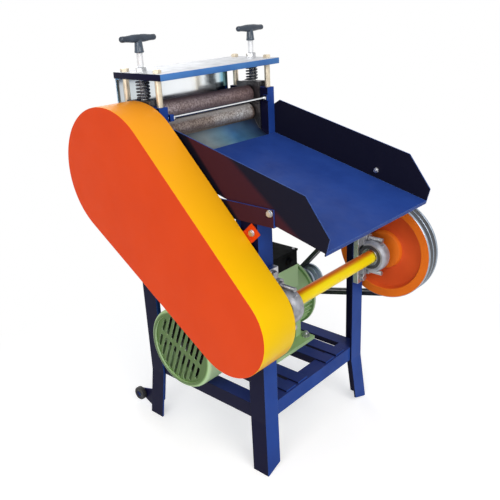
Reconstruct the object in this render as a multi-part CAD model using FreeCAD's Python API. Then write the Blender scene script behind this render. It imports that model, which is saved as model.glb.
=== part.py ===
"""Motor-driven cable stripping machine on an angle-iron stand.

Millimetres.  X runs along the feed rollers, from the chain guard (-X) to the belt
pulley (+X).  Y runs from the feed tray (-Y) to the back, and Z is up.  The model is
built about the centre line of the stand and is moved at the end, so that its origin
is the middle of the whole footprint on the floor.
"""
import FreeCAD, Part
import math
import os

Vector = FreeCAD.Vector
X_AXIS = Vector(1, 0, 0)
Y_AXIS = Vector(0, 1, 0)
Z_AXIS = Vector(0, 0, 1)

# ---- clearances -------------------------------------------------------------------
running_fit = 0.05          # radial, shafts in bores and screws in nuts
sliding_fit = 0.3           # bearing blocks in their slots
bolt_clearance = 0.5        # radial, bolts in holes
belt_clearance = 0.3
face_gap = 0.3              # between pieces that stand side by side

# ---- stand ------------------------------------------------------------------------
stand_half_width = 221.0    # outer faces of the legs
stand_half_depth = 220.0
stand_centre = 6.0          # the legs stand a little towards the pulley
leg_flange = 50.0
leg_thickness = 5.0
foot_splay = 12.0           # how far the feet stand out below the shelf
foot_cut = 20.0             # slant of the front and back flanges' lower ends
shelf_height = 190.0        # top of the shelf rails
rail_size = 42.0
rail_thickness = 4.0
leg_height = 690.0
table_half_width = 223.0    # outer faces of the upper rails
table_rail_width = 40.0
table_rail_height = 41.0
table_rail_overhang = 54.0
slat_width = 40.0
slat_thickness = 5.0
slat_inset = 4.0
slat_places = (-98.0, -47.0, 130.0)

# ---- roller head ------------------------------------------------------------------
cheek_thickness = 28.0
cheek_front = 78.0
cheek_back = 222.0
cheek_height = 226.0        # above the table rails' flanges, as the next two
slot_floor_rise = 106.0
lower_roller_rise = 155.0
roller_y = 147.0
roller_radius = 25.2
roller_half_length = 178.0
journal_radius = 15.0
gear_module = 3.0
roller_teeth = 17
drive_teeth = 36
gear_width = 20.0
gear_inset = 4.0            # gears inside the guard's open edge
pressure_angle = 20.0       # degrees
gear_dedendum = 1.25        # root depth in modules
tooth_backlash = 0.36
block_width = 60.0
block_flange = 84.0
block_flange_thickness = 5.4
bore_overrun = 20.0         # cuts run past the blocks' faces
block_wall = 25.0           # bearing block metal between bore centre and parting line
upper_block_rise = 35.0
drive_shaft_radius = 12.5
drive_shaft_end = 4.0
bush_wall = 5.5
bush_flange = 3.0
plate_thickness = 16.0
plate_half_width = 219.0
plate_front = 58.0
plate_back = 236.0
spacer_length = 64.0
spacer_radius = 8.0
tie_bolt_radius = 6.0
tie_bolt_grip = 30.0
tie_bolt_inset = 11.0
screw_x = 201.0
screw_radius = 8.0
screw_rise = 62.0           # screw above the top plate
screw_pocket = 12.0
handle_length = 112.0
handle_radius = 9.5
handle_waist = 0.95         # share of the bar's thickness left at its middle
handle_end = 18.0           # full thickness at each end of the bar
handle_hub_radius = 11.5
handle_socket = 16.0        # depth of the screw in the handle
handle_hub_length = 33.0    # from the hub's foot to the bar's axis
spring_outer_radius = 17.5
spring_wire = 5.0
spring_turns = 5
panel_thickness = 2.0
panel_left = -216.0
panel_right = 188.0
panel_fold = 14.0
panel_drop = 100.0
rod_radius = 4.0
rod_y = 80.0
rod_rise = 44.0             # above the lower roller's axis
rod_lug = 16.0
rod_lug_width = 12.0
apron_half_width = 180.5
apron_thickness = 2.0
apron_rise = 43.0
apron_reach = 48.0
apron_bulge_rise = 17.0     # a point on its curve
apron_bulge_reach = 29.0

# ---- feed tray --------------------------------------------------------------------
tray_sheet = 3.0
tray_front = -409.0
tray_slope = 14.6           # degrees
tray_wall_height = 96.0
tray_front_wall = 32.0
tray_corner_cut = 79.0
tray_ear_cut = 19.75        # corner cut at the top of its back ends
tray_rest_gap = 0.5         # the tray over the front ends of the rails
tray_lip = 9.0
tray_ear_back = 102.0
tray_bolt_y = -264.0
tray_bolt_rise = 28.0       # above the rails' flanges
ear_bolt_y = 92.0
ear_bolt_rise = 156.0
ear_bolt_grip = 14.0

# ---- jackshaft and its bearings ---------------------------------------------------
jackshaft_height = 487.0
jackshaft_radius = 17.5
jackshaft_end = 4.0
mount_plate_thickness = 16.0
mount_plate_width = 42.0
mount_plate_half_height = 87.0
mount_plate_inset = 7.0     # from the outer face of the leg
leg_bolt_spread = 72.0
left_bearing_x = -183.0
right_bearing_x = 202.0
pillow_height = 33.0
pillow_radius = 45.0
pillow_face_radius = 39.0
pillow_width = 38.0
pillow_half_length = 60.0
pillow_foot = 14.0
pillow_foot_round = 10.0
pillow_bolt_spread = 48.0
pillow_stud_length = 62.0   # beyond the mounting plate
inner_ring_radius = 24.0
inner_ring_width = 40.0

# ---- belt drive -------------------------------------------------------------------
pulley_start = 250.0
pulley_width = 50.0
groove_pitch = 19.0
groove_depth = 14.5
groove_half_angle = 20.0    # degrees
belt_top_width = 16.0
belt_height = 11.0
belt_sink = 1.0
big_pulley_radius = 142.0
big_pulley_rim_inner = 117.0
big_pulley_hub = 53.0
big_pulley_recess = 15.0
casting_draft = 3.0
motor_pulley_radius = 45.0
motor_pulley_hub = 28.0
motor_pulley_hub_start = 205.0

# ---- chain drive and guard --------------------------------------------------------
chain_pitch = 19.05
chain_roller_radius = 5.95
chain_inner_width = 12.6
chain_pin_radius = 2.9
chain_plate_thickness = 2.4
chain_plate_radius = 8.6
chain_plate_waist = 6.2
link_gap = 0.1
chain_plane = -272.0
small_sprocket_teeth = 11
large_sprocket_teeth = 45
sprocket_thickness = 11.6
tooth_rise = 4.0            # tooth tips above the pitch circle
tooth_tip = 2.0
sprocket_hub_length = 15.0
small_sprocket_hub = 23.0
large_sprocket_hub = 36.0
guard_sheet = 2.0
guard_outer = -334.5
guard_inner = -226.0
guard_upper_radius = 165.5
guard_upper_rise = 1.0      # upper round of the guard above the drive shaft
guard_lower_radius = 116.0
guard_lower_back = 54.0     # lower round of the guard behind and below the jackshaft
guard_lower_drop = 17.0
guard_tab_size = 34.0
guard_tab_grip = 16.0       # width of the tongue on the rim
guard_tab_sheet = 3.0
guard_tab_front = 15.2      # middles of the tabs, in from the outer faces of the legs
guard_tab_back = 24.5

# ---- motor ------------------------------------------------------------------------
motor_y = 12.0
motor_shaft_height = 121.0  # above its feet
motor_barrel_radius = 92.0
motor_fin_radius = 101.0
motor_smooth_radius = 99.0
motor_fin_thickness = 3.2
motor_fin_step = 9.0        # degrees
motor_smooth_from = 60.0    # degrees from +Y, counted over the top
motor_smooth_to = 183.0
motor_rear = -165.0
motor_front = 165.0
bell_radius = 107.0
bell_flange = 8.0
bell_boss_radius = 42.0
bell_length = 24.0
bell_step = 14.0
cowl_radius = 109.0
cowl_sheet = 2.0
cowl_end = -280.0
cowl_corner = 12.0
cowl_lap = 12.0             # how far the cowl reaches over the barrel
grille_radius = 88.0
grille_recess = 94.0        # radius of the set-back disc
grille_set_back = 5.0
grille_tilt = 22.0          # degrees, slots from upright
grille_strip = 11.0         # half width of the plain strip across the middle
slot_width = 9.5
slot_step = 18.0
fan_radius = 84.0
fan_blades = 7
fan_width = 30.0
fan_hub_radius = 26.0
fan_sheet = 3.0
fan_gap = 12.0              # between the fan and the cowl's end
rotor_radius = 14.0
foot_start = -62.0
foot_end = 151.0
foot_half_width = 118.0
foot_thickness = 10.0
foot_web = 24.0
foot_bolt_x = (-44.0, 134.0)
foot_bolt_y = 98.0          # either side of the motor's axis
box_start = 5.0
box_end = 118.0
box_depth = 110.0
box_offset = 27.0           # its middle, in front of the motor's axis
box_rise = 125.0            # its floor above the motor's axis
box_height = 42.0
box_lid = 6.0
box_lid_overhang = 2.0
box_wall = 4.0
gland_inset = 40.0
gland_radius = 9.0
gland_length = 16.0
pad_margin = 4.0

# ---- transport wheels -------------------------------------------------------------
wheel_radius = 20.5
wheel_width = 16.0
wheel_y = 282.0
wheel_height = 42.0
wheel_bracket = 4.0
wheel_bracket_rise = 72.0   # where the bracket meets the leg
wheel_bracket_foot = 6.0
wheel_boss_radius = 13.0
wheel_pin_radius = 5.0
wheel_pin_head = 3.0

# ---- fasteners: nut or head across flats, and height -------------------------------
m8_radius = 4.0
m8_flats = 13.0
m8_head = 5.5
m12_flats = 19.0
m12_head = 8.0
m16_flats = 24.0
m16_head = 13.0
thread_end = 3.0            # thread that stands out of a nut

# ---- places worked out from the sizes above ----------------------------------------
m12_hole = tie_bolt_radius + bolt_clearance
table_seat = leg_height + rail_thickness
cheek_top = table_seat + cheek_height
slot_floor = table_seat + slot_floor_rise
lower_roller_height = table_seat + lower_roller_rise
rod_height = lower_roller_height + rod_rise
tray_bolt_height = table_seat + tray_bolt_rise
ear_bolt_height = table_seat + ear_bolt_rise
roller_distance = gear_module * roller_teeth
upper_roller_height = lower_roller_height + roller_distance
drive_shaft_height = lower_roller_height - gear_module * (roller_teeth + drive_teeth) / 2
tray_half_width = table_half_width - rail_thickness - face_gap
cheek_outer = tray_half_width - tray_sheet - face_gap
left_leg_face = stand_centre - stand_half_width
cheek_inner = cheek_outer - cheek_thickness
plate_underside = cheek_top + spacer_length
plate_top = plate_underside + plate_thickness
jackshaft_y = -(stand_half_depth + mount_plate_thickness + pillow_height)
bearing_base = -(stand_half_depth + mount_plate_thickness)
motor_feet = shelf_height + slat_thickness
motor_height = motor_feet + motor_shaft_height
box_front = motor_y - box_offset - box_depth / 2
box_back = box_front + box_depth
box_floor = motor_height + box_rise
pulley_end = pulley_start + pulley_width
gear_start = guard_inner - gear_inset - gear_width
bearing_places = ((-1, left_bearing_x), (1, right_bearing_x))
tie_bolt_places = [(side * (cheek_inner + cheek_thickness / 2), y)
                   for side in (-1, 1)
                   for y in (cheek_front + tie_bolt_inset, cheek_back - tie_bolt_inset)]
guard_upper_height = drive_shaft_height + guard_upper_rise
guard_lower_y = jackshaft_y + guard_lower_back
guard_lower_height = jackshaft_height - guard_lower_drop
guard_tab_places = ((-stand_half_depth + guard_tab_front, 1),
                    (stand_half_depth - guard_tab_back, -1))
tray_tan = math.tan(math.radians(tray_slope))
tray_cos = math.cos(math.radians(tray_slope))
rail_front = -stand_half_depth - table_rail_overhang
tray_front_height = (table_seat + tray_rest_gap + tray_sheet / tray_cos
                     - (rail_front - tray_front) * tray_tan)
upper_block_top = upper_roller_height + upper_block_rise


# ---- basic solids -----------------------------------------------------------------
def box(x0, x1, y0, y1, z0, z1):
    """A block between two corners."""
    return Part.makeBox(x1 - x0, y1 - y0, z1 - z0, Vector(x0, y0, z0))


def rod_x(radius, x0, x1, y, z):
    """A round bar along X."""
    return Part.makeCylinder(radius, x1 - x0, Vector(x0, y, z), X_AXIS)


def rod_y_axis(radius, x, y0, y1, z):
    """A round bar along Y."""
    return Part.makeCylinder(radius, y1 - y0, Vector(x, y0, z), Y_AXIS)


def rod_z(radius, x, y, z0, z1):
    """A round bar along Z."""
    return Part.makeCylinder(radius, z1 - z0, Vector(x, y, z0), Z_AXIS)


def fused(shapes):
    """One solid from overlapping or touching ones."""
    body = shapes[0]
    if len(shapes) > 1:
        body = body.multiFuse(shapes[1:])
    return body.removeSplitter()


def prism_x(points, x0, x1):
    """A straight-sided outline in Y and Z, drawn along X."""
    corners = [Vector(x0, y, z) for y, z in points]
    outline = Part.makePolygon(corners + corners[:1])
    return Part.Face(outline).extrude(Vector(x1 - x0, 0, 0))


def prism_z(points, z0, z1, shift=Vector(0, 0, 0)):
    """A straight-sided outline in X and Y, drawn along Z, with a slant if shifted."""
    corners = [Vector(x, y, z0) for x, y in points]
    outline = Part.makePolygon(corners + corners[:1])
    return Part.Face(outline).extrude(Vector(shift.x, shift.y, z1 - z0))


def hexagon(flats, centre, axis, height):
    """A hexagonal nut or head standing on its centre."""
    radius = flats / math.sqrt(3)
    corners = [Vector(radius * math.cos(math.radians(60 * i + 30)),
                      radius * math.sin(math.radians(60 * i + 30)), 0) for i in range(6)]
    outline = Part.makePolygon(corners + corners[:1])
    nut = Part.Face(outline).extrude(Vector(0, 0, height))
    nut.Placement = FreeCAD.Placement(centre, FreeCAD.Rotation(Z_AXIS, axis))
    return nut


def bolt(radius, flats, head, seat, axis, grip):
    """A hexagon bolt: its head stands on the seat and its shank runs the other way."""
    shank = Part.makeCylinder(radius, grip, seat, -axis)
    return fused([hexagon(flats, seat, axis, head), shank])


def nut(radius, flats, height, seat, axis):
    """A hexagon nut on its seat, bored to the bolt."""
    body = hexagon(flats, seat, axis, height)
    return body.cut(Part.makeCylinder(radius, height, seat, axis))


def turned_x(profile, y, z):
    """A profile of (x, radius) points, turned about an axis along X."""
    corners = [Vector(x, r, 0) for x, r in profile]
    outline = Part.makePolygon(corners + corners[:1])
    body = Part.Face(outline).revolve(Vector(0, 0, 0), X_AXIS, 360)
    body.translate(Vector(0, y, z))
    return body


def mirrored_x(shape):
    """The same piece on the other side of the machine."""
    return shape.mirror(Vector(0, 0, 0), X_AXIS)


# ---- outline around two circles: guard, belts and chain -----------------------------
def two_circle_wire(centre_a, radius_a, centre_b, radius_b, x):
    """The closed line around two circles in the plane at x, as two arcs and two tangents."""
    ay, az = centre_a
    by, bz = centre_b
    reach = math.hypot(by - ay, bz - az)
    heading = math.atan2(bz - az, by - ay)
    opening = math.acos((radius_a - radius_b) / reach)

    def at(centre, radius, angle):
        return Vector(x, centre[0] + radius * math.cos(angle), centre[1] + radius * math.sin(angle))

    first, last = heading + opening, heading - opening + 2 * math.pi
    a_start = at(centre_a, radius_a, first)
    a_middle = at(centre_a, radius_a, (first + last) / 2)
    a_end = at(centre_a, radius_a, last)
    b_start = at(centre_b, radius_b, heading - opening)
    b_middle = at(centre_b, radius_b, heading)
    b_end = at(centre_b, radius_b, heading + opening)
    edges = [Part.Arc(a_start, a_middle, a_end).toShape(),
             Part.LineSegment(a_end, b_start).toShape(),
             Part.Arc(b_start, b_middle, b_end).toShape(),
             Part.LineSegment(b_end, a_start).toShape()]
    return Part.Wire(edges)


def two_circle_prism(centre_a, radius_a, centre_b, radius_b, x0, x1):
    """The solid inside the line around two circles."""
    outline = two_circle_wire(centre_a, radius_a, centre_b, radius_b, x0)
    return Part.Face(outline).extrude(Vector(x1 - x0, 0, 0))


# ---- stand ------------------------------------------------------------------------
def leg(side, end):
    """One angle-iron leg: straight above the shelf, splayed below it."""
    outline = [(side * x, end * y) for x, y in
               ((stand_half_width, stand_half_depth),
                (stand_half_width - leg_flange, stand_half_depth),
                (stand_half_width - leg_flange, stand_half_depth - leg_thickness),
                (stand_half_width - leg_thickness, stand_half_depth - leg_thickness),
                (stand_half_width - leg_thickness, stand_half_depth - leg_flange),
                (stand_half_width, stand_half_depth - leg_flange))]
    bend = shelf_height - rail_size
    upper = prism_z(outline, bend, leg_height)
    splay = Vector(side * foot_splay, end * foot_splay, 0)
    lower = prism_z([(x + splay.x, y + splay.y) for x, y in outline], 0, bend, splay * -1)
    body = fused([upper, lower])
    body = body.cut(foot_slant(side, end))
    body.translate(Vector(stand_centre, 0, 0))
    for hole in leg_holes(side, end):
        body = body.cut(hole)
    return body


def foot_slant(side, end):
    """Wedge cut off the lower end of a leg's front or back flange."""
    corner = side * (stand_half_width + foot_splay - leg_thickness)
    inner = side * (stand_half_width - leg_flange)
    outline = [(corner, 0), (inner, 0), (inner, foot_cut)]
    face = Part.Face(Part.makePolygon([Vector(x, 0, z) for x, z in outline + outline[:1]]))
    return face.extrude(Vector(0, end * 2 * stand_half_depth, 0))


def leg_holes(side, end):
    """Holes in a leg for the bolts of the mounting plate and of the guard's tabs."""
    holes = []
    if end < 0:
        for rise in (-leg_bolt_spread, leg_bolt_spread):
            holes.append(rod_y_axis(m12_hole, mount_plate_x(side), -stand_half_depth - 1,
                                    -stand_half_depth + leg_thickness + 1,
                                    jackshaft_height + rise))
    if side < 0:
        y, z = guard_tab_centre(*guard_tab_places[0 if end < 0 else 1])
        holes.append(rod_x(m8_radius + bolt_clearance, left_leg_face - 1,
                           left_leg_face + leg_thickness + 1, y, z))
    return holes


def angle_rail(x0, x1, y0, y1, z0, z1):
    """An angle section along Y: one wall on its low X side, the other at its foot."""
    return fused([box(x0, x0 + rail_thickness, y0, y1, z0, z1),
                  box(x0, x1, y0, y1, z0, z0 + rail_thickness)])


def shelf_side_rail(side):
    """Side rail of the shelf, welded inside the legs, with its flange on top."""
    outer = stand_half_width - leg_thickness
    reach = stand_half_depth - leg_thickness
    wall = prism_z([(side * outer, -reach), (side * outer, reach),
                    (side * (outer - rail_thickness), reach),
                    (side * (outer - rail_thickness), -reach)],
                   shelf_height - rail_size, shelf_height)
    flange = prism_z([(side * outer, -reach), (side * outer, reach),
                      (side * (outer - rail_size), reach), (side * (outer - rail_size), -reach)],
                     shelf_height - rail_thickness, shelf_height)
    body = fused([wall, flange])
    body.translate(Vector(stand_centre, 0, 0))
    return body


def shelf_cross_rail(end):
    """Front or back shelf rail; its flange ends where the side rails' flanges begin."""
    outer = end * (stand_half_depth - leg_thickness)
    inner = end * (stand_half_depth - leg_thickness - rail_size)
    face = end * (stand_half_depth - leg_thickness - rail_thickness)
    half = stand_half_width - leg_thickness - rail_thickness
    flange_half = stand_half_width - leg_thickness - rail_size
    wall = prism_z([(-half, outer), (half, outer), (half, face), (-half, face)],
                   shelf_height - rail_size, shelf_height - rail_thickness)
    flange = prism_z([(-flange_half, outer), (flange_half, outer),
                      (flange_half, inner), (-flange_half, inner)],
                     shelf_height - rail_thickness, shelf_height)
    body = fused([wall, flange])
    body.translate(Vector(stand_centre, 0, 0))
    return body


def shelf_slats():
    """Flat bars across the shelf, which carry the motor."""
    reach = stand_half_depth - leg_thickness - slat_inset
    slats = []
    for x in slat_places:
        slat = box(x - slat_width / 2, x + slat_width / 2, -reach, reach,
                   shelf_height, shelf_height + slat_thickness)
        for bolt_x in foot_bolt_x:
            for bolt_y in (motor_y - foot_bolt_y, motor_y + foot_bolt_y):
                slat = slat.cut(rod_z(m12_hole, bolt_x, bolt_y, shelf_height - 1,
                                      shelf_height + slat_thickness + 1))
        slats.append(slat)
    return Part.makeCompound(slats)


def table_rail():
    """Left upper rail: it stands on the legs, with its wall outside and its flange below."""
    body = angle_rail(-table_half_width, -table_half_width + table_rail_width,
                      rail_front, stand_half_depth,
                      leg_height, leg_height + table_rail_height)
    return body.cut(rod_x(m8_radius + bolt_clearance, -table_half_width - 1,
                          -table_half_width + table_rail_width, tray_bolt_y, tray_bolt_height))


# ---- roller head ------------------------------------------------------------------
def cheek():
    """Left cheek: a thick plate with an open slot for the bearing blocks."""
    body = box(-cheek_outer, -cheek_inner, cheek_front, cheek_back, table_seat, cheek_top)
    slot_half = block_width / 2 + sliding_fit
    body = body.cut(box(-cheek_outer - 1, -cheek_inner + 1, roller_y - slot_half,
                        roller_y + slot_half, slot_floor, cheek_top + 1))
    body = body.cut(rod_x(drive_shaft_radius + bush_wall, -cheek_outer - 1, -cheek_inner + 1,
                          roller_y, drive_shaft_height))
    half_lug = rod_lug / 2
    lug = box(-cheek_inner, -cheek_inner + rod_lug_width, rod_y - half_lug,
              rod_y + half_lug, rod_height - half_lug, rod_height + half_lug)
    body = fused([body, lug])
    body = body.cut(rod_x(rod_radius + running_fit, -cheek_inner, -cheek_inner + rod_lug_width,
                          rod_y, rod_height))
    for x, y in tie_bolt_places:
        if x < 0:
            body = body.cut(rod_z(tie_bolt_radius, x, y, cheek_top - tie_bolt_grip, cheek_top + 1))
    return body.cut(rod_x(m8_radius, -tray_half_width, -tray_half_width + ear_bolt_grip,
                          ear_bolt_y, ear_bolt_height))


def top_plate():
    """Ground steel plate that ties the cheeks together and carries the screws."""
    body = box(-plate_half_width, plate_half_width, plate_front, plate_back,
               plate_underside, plate_top)
    for x, y in tie_bolt_places:
        body = body.cut(rod_z(m12_hole, x, y, plate_underside - 1, plate_top + 1))
    for side in (-1, 1):
        body = body.cut(rod_z(screw_radius + bolt_clearance, side * screw_x, roller_y,
                              plate_underside - 1, plate_top + 1))
    return body


def tie_bolts():
    """Four long bolts through the top plate and the spacers into the cheeks."""
    grip = plate_thickness + spacer_length + tie_bolt_grip
    return Part.makeCompound([bolt(tie_bolt_radius, m12_flats, m12_head,
                                   Vector(x, y, plate_top), Z_AXIS, grip)
                              for x, y in tie_bolt_places])


def tie_spacers():
    """Tubes around the tie bolts that hold the plate above the cheeks."""
    tubes = []
    for x, y in tie_bolt_places:
        tube = rod_z(spacer_radius, x, y, cheek_top, plate_underside)
        tubes.append(tube.cut(rod_z(tie_bolt_radius + running_fit, x, y,
                                    cheek_top, plate_underside)))
    return Part.makeCompound(tubes)


def screw_nuts():
    """Two nuts welded to the top plate, in which the pressure screws turn."""
    return Part.makeCompound([nut(screw_radius + running_fit, m16_flats, m16_head,
                                  Vector(side * screw_x, roller_y, plate_top), Z_AXIS)
                              for side in (-1, 1)])


def back_panel():
    """Sheet that hangs from the back edge of the top plate, with a folded top."""
    back = plate_back - panel_thickness
    wall = box(panel_left, panel_right, back - panel_thickness, back,
               plate_underside - panel_drop, plate_underside)
    fold = box(panel_left, panel_right, back - panel_fold, back,
               plate_underside - panel_thickness, plate_underside)
    return fused([wall, fold])


def bearing_block(height, low, high):
    """Left bearing block: it slides in the cheek's slot between two flanges."""
    half = block_width / 2
    wide = block_flange / 2
    inner = -cheek_inner + face_gap
    outer = -cheek_outer - face_gap
    body = fused([box(outer, inner, roller_y - half, roller_y + half, low, high),
                  box(inner, inner + block_flange_thickness, roller_y - wide,
                      roller_y + wide, low, high),
                  box(outer - block_flange_thickness, outer, roller_y - wide,
                      roller_y + wide, low, high)])
    return body.cut(rod_x(journal_radius + running_fit, -cheek_outer - bore_overrun,
                          -cheek_inner + bore_overrun, roller_y, height))


def lower_bearing_blocks():
    """Fixed blocks that stand on the floor of the slots."""
    block = bearing_block(lower_roller_height, slot_floor, lower_roller_height + block_wall)
    return Part.makeCompound([block, mirrored_x(block)])


def upper_bearing_blocks():
    """Sliding blocks, each with a pocket for the end of its pressure screw."""
    block = bearing_block(upper_roller_height, upper_roller_height - block_wall + face_gap,
                          upper_block_top)
    block = block.cut(rod_z(screw_radius + running_fit, -screw_x, roller_y,
                            upper_block_top - screw_pocket, upper_block_top + 1))
    return Part.makeCompound([block, mirrored_x(block)])


def drive_shaft_bushes():
    """Flanged bronze bushes of the drive shaft."""
    outer = drive_shaft_radius + bush_wall
    bore = drive_shaft_radius + running_fit
    bush = turned_x([(-cheek_outer, bore), (-cheek_inner + bush_flange, bore),
                     (-cheek_inner + bush_flange, outer + bush_flange),
                     (-cheek_inner, outer + bush_flange), (-cheek_inner, outer),
                     (-cheek_outer, outer)], roller_y, drive_shaft_height)
    return Part.makeCompound([bush, mirrored_x(bush)])


def guide_rod():
    """Bright rod in front of the rollers, held by a nut at each lug."""
    reach = cheek_inner
    rod = rod_x(rod_radius, -reach, reach, rod_y, rod_height)
    nut_seat = cheek_inner - rod_lug_width
    left = nut(rod_radius, m8_flats, m8_head, Vector(-nut_seat, rod_y, rod_height), X_AXIS)
    return Part.makeCompound([rod, left, mirrored_x(left)])


def apron():
    """Curved sheet that leads the cable from the tray up to the nip."""
    start_y, start_z = tray_back_edge()
    half = apron_thickness / 2
    end_y, end_z = start_y + apron_reach, start_z + apron_rise
    bulge_y, bulge_z = start_y + apron_bulge_reach, start_z + apron_bulge_rise

    def curve(offset):
        return Part.Arc(Vector(-apron_half_width, start_y, start_z + offset),
                        Vector(-apron_half_width, bulge_y, bulge_z + offset),
                        Vector(-apron_half_width, end_y, end_z + offset)).toShape()

    def cut_end(y, z):
        return Part.LineSegment(Vector(-apron_half_width, y, z - half),
                                Vector(-apron_half_width, y, z + half)).toShape()

    outline = Part.Wire([curve(half), cut_end(end_y, end_z), curve(-half),
                         cut_end(start_y, start_z)])
    return Part.Face(outline).extrude(Vector(2 * apron_half_width, 0, 0))


# ---- feed tray --------------------------------------------------------------------
def tray_back_edge():
    """Height and place of the tray floor where it meets the cheeks."""
    back = cheek_front - face_gap
    return back, tray_front_height + (back - tray_front) * tray_tan - tray_sheet / 2


def feed_tray():
    """Folded sheet tray: sloping floor, side walls with cut corners and a front lip."""
    floor_length = (cheek_front - face_gap - tray_front) / tray_cos
    wall_length = (tray_ear_back - tray_front) / tray_cos
    floor = box(-tray_half_width, tray_half_width, 0, floor_length, -tray_sheet, 0)
    lip = box(-tray_half_width, tray_half_width, 0, tray_sheet, -tray_lip, 0)
    outline = [(0, -tray_sheet), (0, tray_front_wall), (tray_corner_cut, tray_wall_height),
               (wall_length - tray_ear_cut, tray_wall_height),
               (wall_length, tray_wall_height - tray_ear_cut),
               (wall_length, -tray_sheet)]
    left = prism_x(outline, -tray_half_width, -tray_half_width + tray_sheet)
    body = fused([floor, lip, left, mirrored_x(left)])
    body.rotate(Vector(0, 0, 0), X_AXIS, tray_slope)
    body.translate(Vector(0, tray_front, tray_front_height))
    body = body.cut(box(-cheek_outer - face_gap, cheek_outer + face_gap, cheek_front - face_gap,
                        cheek_back, table_seat, cheek_top))
    for y, z in ((tray_bolt_y, tray_bolt_height), (ear_bolt_y, ear_bolt_height)):
        body = body.cut(rod_x(m8_radius + bolt_clearance, -tray_half_width - 1,
                              tray_half_width + 1, y, z))
    return body


def frame_bolts():
    """M8 bolts of the tray and the chain guard, with their nuts."""
    pieces = []
    tray_grip = rail_thickness + face_gap + tray_sheet + m8_head + thread_end
    front = bolt(m8_radius, m8_flats, m8_head,
                 Vector(-table_half_width, tray_bolt_y, tray_bolt_height), -X_AXIS, tray_grip)
    front_nut = nut(m8_radius, m8_flats, m8_head,
                    Vector(-tray_half_width + tray_sheet, tray_bolt_y, tray_bolt_height), X_AXIS)
    rear = bolt(m8_radius, m8_flats, m8_head,
                Vector(-tray_half_width, ear_bolt_y, ear_bolt_height), -X_AXIS, ear_bolt_grip)
    for piece in (front, front_nut, rear):
        pieces.extend([piece, mirrored_x(piece)])
    for place in guard_tab_places:
        y, z = guard_tab_centre(*place)
        pieces.append(bolt(m8_radius, m8_flats, m8_head,
                           Vector(left_leg_face - guard_tab_sheet, y, z), -X_AXIS,
                           guard_tab_sheet + leg_thickness + m8_head + thread_end))
        pieces.append(nut(m8_radius, m8_flats, m8_head,
                          Vector(left_leg_face + leg_thickness, y, z), X_AXIS))
    return Part.makeCompound(pieces)


# ---- chain guard ------------------------------------------------------------------
def guard_line():
    """Direction of the guard from its lower to its upper round, and their distance."""
    rise = guard_upper_height - guard_lower_height
    run = roller_y - guard_lower_y
    length = math.hypot(run, rise)
    return run / length, rise / length, length


def guard_tab_centre(y, edge):
    """Middle of a fixing tab: edge +1 is the guard's upper side, -1 its lower side."""
    dy, dz, length = guard_line()
    lean = edge * math.asin((guard_upper_radius - guard_lower_radius) / length)
    side_y = dy * math.cos(lean) - dz * math.sin(lean)
    side_z = dz * math.cos(lean) + dy * math.sin(lean)
    out = guard_lower_radius - guard_sheet - guard_tab_sheet + guard_tab_size / 2
    along = (y - guard_lower_y + edge * side_z * out) / side_y
    return y, guard_lower_height + side_z * along + edge * side_y * out


def guard_shape(shrink, x0, x1):
    """The guard's outline, drawn in by the given amount."""
    return two_circle_prism((roller_y, guard_upper_height), guard_upper_radius - shrink,
                            (guard_lower_y, guard_lower_height), guard_lower_radius - shrink,
                            x0, x1)


def guard_tab(place_y, edge):
    """Fixing tab: a square ear flat on the leg and a tongue welded inside the rim."""
    half = guard_tab_size / 2
    ear = box(left_leg_face - guard_tab_sheet, left_leg_face, -half, half, -half, half)
    ear = ear.cut(rod_x(m8_radius + bolt_clearance, left_leg_face - guard_tab_sheet - 1,
                        left_leg_face + 1, 0, 0))
    tongue = box(guard_inner - guard_tab_grip, left_leg_face, -half, half,
                 -half, -half + guard_tab_sheet)
    tab = fused([ear, tongue])
    dy, dz, _ = guard_line()
    tilt = math.degrees(math.atan2(dz, dy))
    taper = math.degrees(math.asin((guard_upper_radius - guard_lower_radius)
                                   / guard_line()[2]))
    if edge < 0:
        tab.rotate(Vector(0, 0, 0), X_AXIS, 180)
    tab.rotate(Vector(0, 0, 0), X_AXIS, tilt + edge * taper)
    y, z = guard_tab_centre(place_y, edge)
    tab.translate(Vector(0, y, z))
    return tab


def chain_guard():
    """Sheet cover over the chain and gears: closed face, rim, open towards the stand."""
    shell = guard_shape(0, guard_outer, guard_inner)
    shell = shell.cut(guard_shape(guard_sheet, guard_outer + guard_sheet, guard_inner + 1))
    return fused([shell] + [guard_tab(*place) for place in guard_tab_places])


# ---- chain drive ------------------------------------------------------------------
def sprocket_pitch_radius(teeth):
    return chain_pitch / (2 * math.sin(math.pi / teeth))


def sprocket_plate(teeth, y, z, x0, x1, bore, phase):
    """A toothed plate: a disc with a round seat for each chain roller."""
    pitch_radius = sprocket_pitch_radius(teeth)
    tip_radius = pitch_radius + tooth_rise
    seat_radius = chain_roller_radius + face_gap
    half_step = math.pi / teeth
    seat_half = math.asin(seat_radius / pitch_radius)
    tip_half = tooth_tip / 2 / tip_radius
    edges = []

    def at(radius, angle):
        return Vector(x0, y + radius * math.cos(angle), z + radius * math.sin(angle))

    for i in range(teeth):
        gap = phase + 2 * half_step * i
        start = at(pitch_radius, gap - seat_half)
        bottom = at(pitch_radius - seat_radius, gap)
        end = at(pitch_radius, gap + seat_half)
        tip_start = at(tip_radius, gap + half_step - tip_half)
        tip_end = at(tip_radius, gap + half_step + tip_half)
        next_start = at(pitch_radius, gap + 2 * half_step - seat_half)
        edges.append(Part.Arc(start, bottom, end).toShape())
        edges.append(Part.LineSegment(end, tip_start).toShape())
        edges.append(Part.LineSegment(tip_start, tip_end).toShape())
        edges.append(Part.LineSegment(tip_end, next_start).toShape())
    plate = Part.Face(Part.Wire(edges)).extrude(Vector(x1 - x0, 0, 0))
    return plate.cut(rod_x(bore, x0 - 1, x1 + 1, y, z))


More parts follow.
